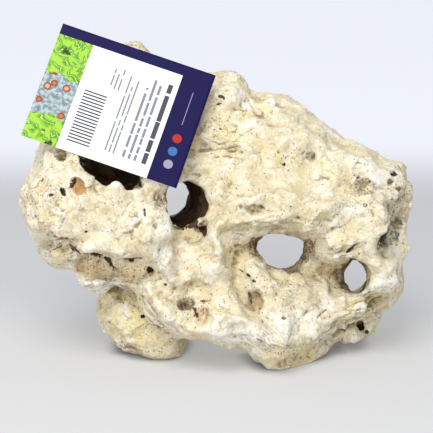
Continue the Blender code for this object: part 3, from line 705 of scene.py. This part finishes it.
def clear_of_card(world, moved):
    """Keeps the skin from reaching the back of the card."""
    place = np.array(card_place().inverted())
    rest = world @ place[:3, :3].T + place[:3, 3]
    now = moved @ place[:3, :3].T + place[:3, 3]
    limit = -(CARD_THICKNESS / 2 + CARD_CLEAR + CARD_BOW) * MM
    behind = ((np.abs(now[:, 0]) < (CARD_SIZE[0] / 2 + CARD_MARGIN) * MM)
              & (np.abs(now[:, 1]) < (CARD_SIZE[1] / 2 + CARD_MARGIN) * MM) & (rest[:, 2] < 0))
    over = np.where(behind, np.maximum(now[:, 2] - limit, 0), 0)
    out = np.array(card_turn())[:3, 2]
    return moved - np.outer(over, out)


def card_bow(x, y):
    """How far the card's middle plane stands off a flat one, by a slight bow and twist."""
    across = x / (CARD_SIZE[0] / 2 * MM)
    up = y / (CARD_SIZE[1] / 2 * MM)
    return (CARD_BOW * (across * across - 0.5) * 0.5 + CARD_TWIST * across * up) * MM


def build_card():
    """The card as a thin sheet with softly rounded edges and a slight bow."""
    columns = round(CARD_SIZE[0] / CARD_CELL)
    rows = round(CARD_SIZE[1] / CARD_CELL)
    shape = bmesh.new()
    grid = [[shape.verts.new(((column / columns - 0.5) * CARD_SIZE[0] * MM,
                              (row / rows - 0.5) * CARD_SIZE[1] * MM, 0))
             for column in range(columns + 1)] for row in range(rows + 1)]
    for lower, upper in zip(grid, grid[1:]):
        for column in range(columns):
            shape.faces.new((lower[column], lower[column + 1], upper[column + 1], upper[column]))
    sheet = bmesh.ops.extrude_face_region(shape, geom=shape.faces[:])
    for vert in (item for item in sheet["geom"] if isinstance(item, bmesh.types.BMVert)):
        vert.co.z += CARD_THICKNESS * MM
    for vert in shape.verts:
        vert.co.z += card_bow(vert.co.x, vert.co.y) - CARD_THICKNESS / 2 * MM
    bmesh.ops.recalc_face_normals(shape, faces=shape.faces)
    rim = [edge for edge in shape.edges if edge.calc_face_angle(0) > CARD_EDGE_ANGLE]
    bmesh.ops.bevel(shape, geom=rim, offset=CARD_ROUND * MM, segments=2, profile=0.5, affect="EDGES")
    mesh = bpy.data.meshes.new("card_print")
    shape.to_mesh(mesh)
    shape.free()
    x, y, z = points_of(mesh).T
    store(mesh, "across", x / MM + CARD_SIZE[0] / 2)
    store(mesh, "up", y / MM + CARD_SIZE[1] / 2)
    store(mesh, "front", (z > card_bow(x, y)).astype(float))
    mesh.transform(card_place())
    mesh.shade_smooth()
    return new_object("card_print", mesh)


# Materials.
class Tree:
    """A material's nodes, built in order."""

    def __init__(self, name):
        self.material = bpy.data.materials.new(name)
        self.material.use_nodes = True
        self.tree = self.material.node_tree
        self.shader = self.tree.nodes["Principled BSDF"]

    def node(self, kind, inputs, **settings):
        made = self.tree.nodes.new(kind)
        for key, value in settings.items():
            setattr(made, key, value)
        for key, value in inputs.items():
            if isinstance(value, bpy.types.NodeSocket):
                self.tree.links.new(value, made.inputs[key])
            else:
                made.inputs[key].default_value = value
        return made

    def attribute(self, name):
        return self.node("ShaderNodeAttribute", {}, attribute_name=name).outputs["Fac"]

    def place(self):
        return self.node("ShaderNodeTexCoord", {}).outputs["Object"]

    def math(self, operation, *values, clamp=False):
        inputs = dict(enumerate(values))
        return self.node("ShaderNodeMath", inputs, operation=operation, use_clamp=clamp).outputs[0]

    def product(self, *values):
        """Values multiplied one after the other, each result kept from 0 to 1."""
        result = values[0]
        for value in values[1:]:
            result = self.math("MULTIPLY", result, value, clamp=True)
        return result

    def swing(self, noise, gain, base):
        """The base, moved both ways by a noise that runs from 0 to 1."""
        return self.math("MULTIPLY_ADD", self.math("SUBTRACT", noise, 0.5), gain, base)

    def scaled(self, vector, factor):
        return self.node("ShaderNodeVectorMath", {0: vector, "Scale": factor}, operation="SCALE").outputs[0]

    def shifted(self, vector, by):
        return self.node("ShaderNodeVectorMath", {0: vector, 1: by}, operation="ADD").outputs[0]

    def noise(self, size, detail, roughness=0.55, distortion=0.0):
        """Noise with lumps of the given size in millimetres."""
        return self.node("ShaderNodeTexNoise", {
            "Vector": self.place(), "Scale": 1 / (size * MM), "Detail": detail,
            "Roughness": roughness, "Distortion": distortion}).outputs["Fac"]

    def patches(self, size, low, high):
        """Patches with frayed edges, where such a noise is high."""
        return self.ramp(self.noise(size, 4, 0.62, 0.4), low, high)

    def cells(self, size, feature="F1", place=None):
        """The outputs of a cell pattern with cells of the given size in millimetres."""
        inputs = {"Vector": place or self.place(), "Scale": 1 / (size * MM)}
        return self.node("ShaderNodeTexVoronoi", inputs, feature=feature).outputs

    def ramp(self, value, low, high):
        """0 below low, 1 above high, eased between them; the other way round where low is over high."""
        made = self.node("ShaderNodeMapRange", {"Value": value, "From Min": low, "From Max": high},
                         interpolation_type="SMOOTHSTEP")
        return made.outputs["Result"]

    def mix(self, share, first, second):
        made = self.node("ShaderNodeMix", {"Factor": share}, data_type="RGBA")
        for socket, value in ((made.inputs[6], first), (made.inputs[7], second)):
            if isinstance(value, bpy.types.NodeSocket):
                self.tree.links.new(value, socket)
            else:
                socket.default_value = (*value, 1.0)
        return made.outputs[2]

    def laid(self, under, over, *shares):
        """A colour laid over another by the product of some shares."""
        return self.mix(self.product(*shares), under, over)

    def bump(self, height, strength, distance, normal=None):
        inputs = {"Height": height, "Strength": strength, "Distance": distance * MM}
        if normal is not None:
            inputs["Normal"] = normal
        return self.node("ShaderNodeBump", inputs).outputs["Normal"]

    def link(self, value, socket):
        self.tree.links.new(value, self.shader.inputs[socket])


CREAM = (0.77, 0.675, 0.445)
PALE = (0.85, 0.775, 0.58)
WARM = (0.70, 0.575, 0.325)
ASHEN = (0.47, 0.42, 0.28)
WHITE = (0.95, 0.92, 0.83)
OLIVE = (0.85, 0.71, 0.33)
# Painted shade: brown in closed-in places, near black deep in the holes, and the shade of the hollows and the
# folds.
SHELTER_SHADE = (0.25, 0.135, 0.058)
DEEP_SHELTER_SHADE = (0.055, 0.026, 0.011)
HOLLOW_SHADE = (0.49, 0.375, 0.19)
FOLD_SHADE = (0.30, 0.215, 0.11)
LAYER_SOIL = (0.30, 0.21, 0.11)
CRACK_SOIL = (0.36, 0.27, 0.14)
DUST = (0.36, 0.27, 0.17)
PIT_SOIL = (0.15, 0.09, 0.048)
# Paint of each tint, how far it covers, and how much of its place it fills; the patchy ones have gaps.
PAINTS = (
    # The first paint is painted light, a bright warm cream for shaded places.
    ("painted_light", (0.96, 0.82, 0.55), 0.85, 0.1),
    ("grey", (0.42, 0.385, 0.32), 0.75, 0.0), ("lavender", (0.78, 0.745, 0.74), 0.7, 0.1),
    ("pink", (0.56, 0.37, 0.22), 0.85, -0.05), ("tan", (0.60, 0.36, 0.145), 0.9, 0.05),
    ("rust", (0.38, 0.165, 0.065), 0.85, 0.0), ("brown", (0.20, 0.112, 0.055), 0.9, 0.02),
    # The rim paint is painted shade round the rims of deep pits.
    ("rim", (0.24, 0.15, 0.08), 0.6, -0.15), ("umber", (0.046, 0.016, 0.005), 0.95, 0.0),
    ("black", (0.10, 0.098, 0.09), 0.85, -0.1), ("dark", (0.03, 0.018, 0.011), 0.95, 0.02),
)
PATCHY = ("pink", "rust", "brown", "black")
# Pores: size of their cells, radius in cells, least share of the cells, paint.
PORES = ((1.25, 0.36, 0.025, (0.17, 0.105, 0.055)), (2.3, 0.24, -0.06, (0.09, 0.055, 0.032)))
# Fine layers: their noise's scale for a millimetre across them, and the drift that a metre of place adds.
LAYER_SCALE = 0.62
LAYER_DRIFT = 90.0
# Hairline cracks: size of the cells they run between, and the scale and reach of what bends them.
CRACK_CELL = 9.0
CRACK_BEND_SCALE, CRACK_BEND = 260.0, 0.007


def ground(tree):
    """Cream rock with warm, grey, olive and bleached patches."""
    colour = tree.mix(tree.patches(15, 0.4, 0.6), CREAM, PALE)
    colour = tree.laid(colour, WARM, tree.patches(6.5, 0.5, 0.64), 0.6)
    ashen = tree.product(tree.patches(5, 0.50, 0.65), tree.patches(24, 0.41, 0.57), 0.66)
    colour = tree.mix(ashen, colour, ASHEN)
    yellow = tree.math("ADD", tree.attribute("yellow"), tree.product(tree.patches(12, 0.58, 0.68), 0.4))
    yellow = tree.product(yellow, tree.patches(4.4, 0.38, 0.58))
    colour = tree.laid(colour, OLIVE, yellow, 0.75)
    bleach = tree.math("ADD", tree.attribute("white"), tree.product(tree.patches(10, 0.55, 0.64), 0.7))
    bleach = tree.math("SUBTRACT", bleach, tree.product(tree.attribute("speckle"), 0.7), clamp=True)
    return tree.laid(colour, WHITE, bleach, tree.patches(3.2, 0.36, 0.52))


def paler_crests_and_painted_shade(tree, colour, fine):
    """Paler on the crests, and painted shade in the folds, the hollows and the holes, darkest where the skin
    is most closed in.
    """
    crease = tree.attribute("crease")
    crest = tree.ramp(crease, -0.05, -0.30)
    colour = tree.laid(colour, WHITE, crest, 0.6)
    # Painted shade in the hollows and in the folds.
    hollow = tree.ramp(tree.attribute("hollow"), 0.4, 2.2)
    colour = tree.laid(colour, HOLLOW_SHADE, hollow, tree.patches(2.6, 0.34, 0.58), 0.58)
    fold = tree.ramp(tree.swing(fine, 0.45, crease), 0.12, 0.40)
    colour = tree.laid(colour, FOLD_SHADE, fold, 0.78)
    # Painted shade by how closed in the skin is, darkest deep in the holes and the cave.
    closed = tree.swing(tree.noise(4, 4, 0.65), 0.5, tree.attribute("shelter"))
    colour = tree.laid(colour, SHELTER_SHADE, tree.ramp(closed, 0.74, 0.92), 0.7)
    return tree.laid(colour, DEEP_SHELTER_SHADE, tree.ramp(closed, 0.88, 1.02), 0.85)


def fine_layers(tree):
    """The height of the thin layers, which follow the wrinkles."""
    across = tree.node("ShaderNodeCombineXYZ", {"X": tree.attribute("layer"), "Y": 0.0, "Z": 0.0}).outputs[0]
    way = tree.shifted(across, tree.scaled(tree.place(), LAYER_DRIFT))
    inputs = {"Vector": way, "Scale": LAYER_SCALE, "Detail": 4.0, "Roughness": 0.7}
    return tree.node("ShaderNodeTexNoise", inputs).outputs["Fac"]


def lined(tree, colour, layers):
    """Thin layers as dark and pale lines."""
    dark = tree.product(tree.ramp(layers, 0.48, 0.41), tree.attribute("layered"))
    colour = tree.laid(colour, LAYER_SOIL, dark, tree.patches(3, 0.35, 0.6), 0.8)
    pale = tree.product(tree.ramp(layers, 0.55, 0.62), tree.attribute("layered"))
    return tree.laid(colour, WHITE, pale, 0.4)


def cracked(tree, colour):
    """Hairline cracks."""
    inputs = {"Vector": tree.place(), "Scale": CRACK_BEND_SCALE, "Detail": 3.0}
    shaken = tree.scaled(tree.node("ShaderNodeTexNoise", inputs).outputs["Color"], CRACK_BEND)
    shaken = tree.shifted(tree.place(), shaken)
    gap = tree.cells(CRACK_CELL, "DISTANCE_TO_EDGE", shaken)["Distance"]
    crack = tree.ramp(gap, 0.035, 0.008)
    return tree.laid(colour, CRACK_SOIL, crack, tree.patches(9, 0.5, 0.6), 0.6)


def stained(tree, colour, fine, finest):
    """Stains and pits, broken up by the grain; the tints also carry the painted shade of the holes, the cave
    and the pit rims, and painted light in shaded places.
    """
    grain = tree.math("MULTIPLY", tree.swing(fine, 1.5, tree.swing(finest, 1.1, 0.0)), 0.8)
    for name, paint, strength, fill in PAINTS:
        share = tree.math("ADD", tree.attribute(name), grain)
        present = tree.ramp(tree.attribute(name), 0.02, 0.2)
        share = tree.product(tree.ramp(share, 0.46 - fill, 0.66 - fill), present)
        if name in PATCHY:
            gaps = tree.math("MULTIPLY_ADD", tree.patches(3.0, 0.43, 0.55), 0.75, 0.25)
            share = tree.product(share, gaps)
        colour = tree.laid(colour, paint, share, strength)
    return colour


def pored(tree, colour, finest):
    """Mottled, with pores in two sizes, thick in the speckled places, and with dust."""
    drifts = tree.product(tree.patches(13, 0.48, 0.64), 0.12)
    thick = tree.math("MULTIPLY_ADD", tree.attribute("speckle"), 0.38, drifts)
    colour = tree.scaled(colour, tree.swing(tree.noise(1.1, 3, 0.75), 0.9, 1.0))
    for size, radius, base, paint in PORES:
        pore = tree.cells(size)
        luck = tree.node("ShaderNodeSeparateColor", {"Color": pore["Color"]}).outputs[0]
        chosen = tree.math("LESS_THAN", luck, tree.math("ADD", thick, base))
        near = tree.ramp(pore["Distance"], radius, radius * 0.6)
        colour = tree.laid(colour, paint, chosen, near, 0.85)
    dust = tree.product(tree.ramp(finest, 0.6, 0.68), tree.patches(8, 0.46, 0.6))
    colour = tree.laid(colour, DUST, dust, 0.4)
    dots = tree.ramp(tree.attribute("dots"), 0.15, 0.7)
    return tree.laid(colour, PIT_SOIL, dots, 0.8)


def limestone():
    """Cream limestone: bleached patches, yellow and grey stains, speckles and brown weathered pits, with
    painted shade in its folds, hollows and holes and painted light in its shaded places.
    """
    tree = Tree("weathered limestone")
    fine = tree.noise(1.5, 4, 0.7)
    finest = tree.noise(0.7, 3, 0.7)
    layers = fine_layers(tree)
    colour = paler_crests_and_painted_shade(tree, ground(tree), fine)
    colour = cracked(tree, lined(tree, colour, layers))
    colour = pored(tree, stained(tree, colour, fine, finest), finest)
    tree.link(colour, "Base Color")
    tree.link(tree.ramp(tree.noise(5, 3), -1.6, 1.4), "Roughness")
    tree.shader.inputs["Specular IOR Level"].default_value = 0.2
    normal = tree.bump(tree.noise(2.2, 5, 0.75), 0.9, 1.1)
    normal = tree.bump(finest, 0.6, 0.35, normal)
    normal = tree.bump(tree.product(layers, tree.attribute("layered")), 0.9, 1.3, normal)
    tree.link(normal, "Normal")
    return tree.material


# The print, in millimetres: the softness of its edges, the blue frame, the strip of pictures, the ruled
# block, the dots with their distance from the right edge, and the rule over them.
PRINT_SOFT = 0.12
PAPER = (0.87, 0.88, 0.90)
PLAIN_BACK = (0.86, 0.86, 0.86)
INDIGO = (0.006, 0.003, 0.058)
CARD_BAND = 5.4
CARD_STRIP = 14.6
PICTURE_WIDTH = 17.0
BAR_INKS = ((0.07, 0.07, 0.08), (0.22, 0.225, 0.25))
# Rows of bars: distance from the frame, thickness and ends.
BAR_ROWS = ((3.6, 2.3, 6.0, 49.0), (8.0, 1.3, 6.0, 45.0), (10.8, 1.3, 6.0, 47.0), (13.6, 1.3, 6.0, 42.0),
            (18.4, 0.8, 6.0, 44.0), (20.4, 0.8, 6.0, 40.0), (22.4, 0.8, 6.0, 45.0),
            (26.2, 0.8, 36.0, 47.0), (28.2, 0.8, 36.0, 44.0), (30.2, 0.8, 36.0, 46.0))
BLOCK_INK = (0.03, 0.03, 0.035)
BLOCK_PITCH = 1.6
DOT_INSET, DOT_RADIUS = 7.3, 2.2
DOTS = ((23.0, (0.40, 0.03, 0.02)), (16.4, (0.045, 0.15, 0.38)), (9.8, (0.30, 0.30, 0.40)))
RULE_INK = (0.30, 0.30, 0.42)
RULE_HALF = 0.15
LEAF_DARK, LEAF_GREEN = (0.07, 0.24, 0.012), (0.33, 0.60, 0.06)
LEAF_EDGE, LEAF_SHADE = (0.50, 0.72, 0.22), (0.03, 0.07, 0.015)
LEAF_PITCH = 3.1
GRAVEL_DARK, GRAVEL_PALE = (0.17, 0.22, 0.24), (0.42, 0.51, 0.53)
PEBBLE_RED, PEBBLE_PALE, PEBBLE_RIM = (0.70, 0.13, 0.02), (0.80, 0.52, 0.36), (0.25, 0.06, 0.02)
PEBBLE_SIZE = 4.6


class PrintTree(Tree):
    """Nodes that draw on the card, in millimetres across it and up it."""

    def __init__(self, name):
        super().__init__(name)
        self.across, self.up = self.attribute("across"), self.attribute("up")
        flat = self.node("ShaderNodeCombineXYZ", {"X": self.across, "Y": self.up, "Z": 0.0})
        self.flat = flat.outputs[0]

    def above(self, value, edge):
        return self.ramp(value, edge - PRINT_SOFT, edge + PRINT_SOFT)

    def below(self, value, edge):
        return self.ramp(value, edge + PRINT_SOFT, edge - PRINT_SOFT)

    def inside(self, value, low, high):
        return self.math("MULTIPLY", self.above(value, low), self.below(value, high))

    def box(self, left, right, bottom, top):
        return self.math("MULTIPLY", self.inside(self.across, left, right), self.inside(self.up, bottom, top))

    def disc(self, x, y, radius):
        along = self.math("POWER", self.math("SUBTRACT", self.across, x), 2.0)
        rise = self.math("POWER", self.math("SUBTRACT", self.up, y), 2.0)
        return self.below(self.math("SQRT", self.math("ADD", along, rise)), radius)

    def drift(self, size, detail, distortion=0.0):
        """Noise on the flat card with lumps of the given size."""
        inputs = {"Vector": self.flat, "Scale": 1 / size, "Detail": detail, "Distortion": distortion}
        return self.node("ShaderNodeTexNoise", inputs).outputs["Fac"]


def plain_bars(tree, colour):
    """Rows of plain bars, the thickest farthest from the pictures, and a block of even stripes."""
    left, right = PICTURE_WIDTH, CARD_SIZE[0] - CARD_STRIP
    for index, (inset, thick, start, end) in enumerate(BAR_ROWS):
        middle = right - inset
        row = tree.box(middle - thick / 2, middle + thick / 2, start, end)
        along = tree.math("MULTIPLY_ADD", tree.up, 0.06, index * 7.3)
        broken = tree.node("ShaderNodeTexNoise", {"W": along}, noise_dimensions="1D").outputs["Fac"]
        bars = tree.math("MULTIPLY", row, tree.ramp(broken, 0.36, 0.37))
        colour = tree.mix(bars, colour, BAR_INKS[min(index, 1)])
    stripes = tree.math("FRACT", tree.math("MULTIPLY", tree.up, 1 / BLOCK_PITCH))
    block = tree.box(left + 3.4, left + 14.4, 5.0, 31.4)
    ruled = tree.math("MULTIPLY", block, tree.inside(stripes, 0.14, 0.60))
    return tree.mix(ruled, colour, BLOCK_INK)


def leaves(tree):
    """Curved green blades with pale edges and dark gaps."""
    slant = tree.math("MULTIPLY_ADD", tree.across, 0.55, tree.up)
    bend = tree.math("MULTIPLY_ADD", tree.drift(11.0, 3, 1.5), 22.0, slant)
    blade = tree.math("PINGPONG", bend, LEAF_PITCH)
    colour = tree.mix(tree.ramp(blade, 0.3, 2.4), LEAF_DARK, LEAF_GREEN)
    colour = tree.mix(tree.ramp(blade, 0.45, 0.1), colour, LEAF_EDGE)
    return tree.mix(tree.ramp(tree.drift(8.0, 3, 0.5), 0.56, 0.64), colour, LEAF_SHADE)


def pebble_bed(tree):
    """Grey gravel with orange pebbles."""
    gravel = tree.mix(tree.ramp(tree.drift(2.0, 4), 0.38, 0.62), GRAVEL_DARK, GRAVEL_PALE)
    inputs = {"Vector": tree.flat, "Scale": 1 / PEBBLE_SIZE, "Randomness": 1.0}
    pebble = tree.node("ShaderNodeTexVoronoi", inputs).outputs
    shades = tree.node("ShaderNodeSeparateColor", {"Color": pebble["Color"]}).outputs
    body = tree.math("MULTIPLY_ADD", tree.drift(3.0, 2), 0.25, pebble["Distance"])
    share = tree.math("MULTIPLY", tree.ramp(body, 0.56, 0.50), tree.math("GREATER_THAN", shades[1], 0.2))
    pebbles = tree.mix(shades[0], PEBBLE_RED, PEBBLE_PALE)
    return tree.mix(share, gravel, tree.mix(tree.ramp(body, 0.2, 0.5), pebbles, PEBBLE_RIM))


def card_paint():
    """A generic print: a blue frame, a white panel with grey bars, and a strip of leaves and pebbles."""
    tree = PrintTree("printed card face")
    width, height = CARD_SIZE
    colour = plain_bars(tree, PAPER)
    edge = tree.math("MULTIPLY_ADD", tree.drift(9.0, 2), 9.0, tree.up)
    picture = tree.mix(tree.inside(edge, 17.5, 38.0), leaves(tree), pebble_bed(tree))
    colour = tree.mix(tree.below(tree.across, PICTURE_WIDTH), colour, picture)
    colour = tree.mix(tree.above(tree.across, width - CARD_STRIP), colour, INDIGO)
    colour = tree.mix(tree.above(tree.up, height - CARD_BAND), colour, INDIGO)
    for rise, paint in DOTS:
        colour = tree.mix(tree.disc(width - DOT_INSET, rise, DOT_RADIUS), colour, paint)
    rule = width - DOT_INSET
    colour = tree.mix(tree.box(rule - RULE_HALF, rule + RULE_HALF, 30.0, 47.0), colour, RULE_INK)
    colour = tree.mix(tree.attribute("front"), PLAIN_BACK, colour)
    mottle = tree.ramp(tree.noise(4.0, 3), -4.0, 5.0)
    tree.link(colour, "Base Color")
    tree.link(tree.math("MULTIPLY_ADD", mottle, 0.2, 0.34), "Roughness")
    tree.link(tree.bump(tree.noise(1.6, 2), 0.06, 0.05), "Normal")
    tree.shader.inputs["Specular IOR Level"].default_value = 0.1
    return tree.material


# Studio: the floor's half size, where its tone changes going back, its colours and its glow there; the
# contact shadow, which reaches as many millimetres; the sky and the lamps.
FLOOR_HALF = 2.0
FLOOR_TURN = (0.0, 0.12)
BACKDROP_TURN = (0.28, 0.46)
FLOOR_NEAR, FLOOR_FAR = (0.447, 0.449, 0.452), (0.25, 0.255, 0.265)
GLOW_NEAR, GLOW_FAR, GLOW_BACKDROP = (0.25, 0.252, 0.258), (0.355, 0.36, 0.375), (0.66, 0.68, 0.74)
CONTACT_REACH = 8
CONTACT_LEAST = 0.32
CONTACT_GAIN = 0.68
SKY_COLOUR = (0.98, 0.985, 1.0, 1)
SKY_STRENGTH = 0.58
LAMP_SIZE = 0.6
# Name, place, target, watts.
LAMPS = (
    ("key", (-0.2, -0.74, 1.08), (0, 0, 0.08), 11.0),
    ("fill", (-0.4, -1.1, 0.3), (0, 0, 0.06), 3.9),
)


def studio_paper():
    """Pale paper, which glows more towards the back and darkens where something stands on it."""
    tree = Tree("studio paper")
    depth = tree.node("ShaderNodeSeparateXYZ", {"Vector": tree.place()}).outputs["Y"]
    inputs = {"Distance": CONTACT_REACH * MM}
    contact = tree.node("ShaderNodeAmbientOcclusion", inputs, samples=12).outputs["AO"]
    contact = tree.math("MULTIPLY_ADD", tree.ramp(contact, 0.05, 0.85), CONTACT_GAIN, CONTACT_LEAST)
    colour = tree.mix(tree.ramp(depth, *FLOOR_TURN), FLOOR_NEAR, FLOOR_FAR)
    tree.link(tree.scaled(colour, contact), "Base Color")
    glow = tree.mix(tree.ramp(depth, *FLOOR_TURN), GLOW_NEAR, GLOW_FAR)
    glow = tree.mix(tree.ramp(depth, *BACKDROP_TURN), glow, GLOW_BACKDROP)
    tree.link(tree.scaled(glow, contact), "Emission Color")
    tree.shader.inputs["Emission Strength"].default_value = 1.0
    tree.shader.inputs["Roughness"].default_value = 0.9
    tree.shader.inputs["Specular IOR Level"].default_value = 0.1
    return tree.material


def build_studio():
    """A wide pale floor, which fills the picture behind the stone as well."""
    shape = bmesh.new()
    shape.faces.new([shape.verts.new((x * FLOOR_HALF, y * FLOOR_HALF, 0))
                     for x, y in ((-1, -1), (1, -1), (1, 1), (-1, 1))])
    mesh = bpy.data.meshes.new("studio_floor")
    shape.to_mesh(mesh)
    shape.free()
    floor = new_object("studio_floor", mesh)
    mesh.materials.append(studio_paper())


def build_lights():
    world = bpy.data.worlds.new("studio light")
    bpy.context.scene.world = world
    world.use_nodes = True
    sky = world.node_tree.nodes["Background"]
    sky.inputs["Color"].default_value = SKY_COLOUR
    sky.inputs["Strength"].default_value = SKY_STRENGTH
    for name, place, target, watts in LAMPS:
        lamp = bpy.data.lights.new(name, "AREA")
        lamp.size = LAMP_SIZE
        lamp.energy = watts
        made = new_object(name, lamp)
        made.location = place
        made.rotation_euler = (Vector(target) - Vector(place)).to_track_quat("-Z", "Y").to_euler()


def build_camera():
    out = (FACE.to_3x3() @ Vector((0, 0, 1))).normalized()
    target = FACE @ Vector((0, EYE_HEIGHT * MM, 0))
    lens = bpy.data.cameras.new("camera")
    lens.sensor_width = SENSOR
    lens.lens = SENSOR * EYE_DISTANCE / (IMAGE_SIZE * PIXEL * MM)
    camera = new_object("camera", lens)
    camera.location = target + out * EYE_DISTANCE
    camera.rotation_euler = (-out).to_track_quat("-Z", "Y").to_euler()
    bpy.context.scene.camera = camera


def main():
    build_camera()
    build_studio()
    skin = build_skin()
    skin.data.materials.append(limestone())
    card = build_card()
    card.data.materials.append(card_paint())
    for piece, node, slot in ((skin, "stone", "limestone"), (card, "card", "printed_card")):
        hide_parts(node)
        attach(piece, "root")
    build_lights()
    bpy.context.scene.view_settings.view_transform = "Standard"


main()
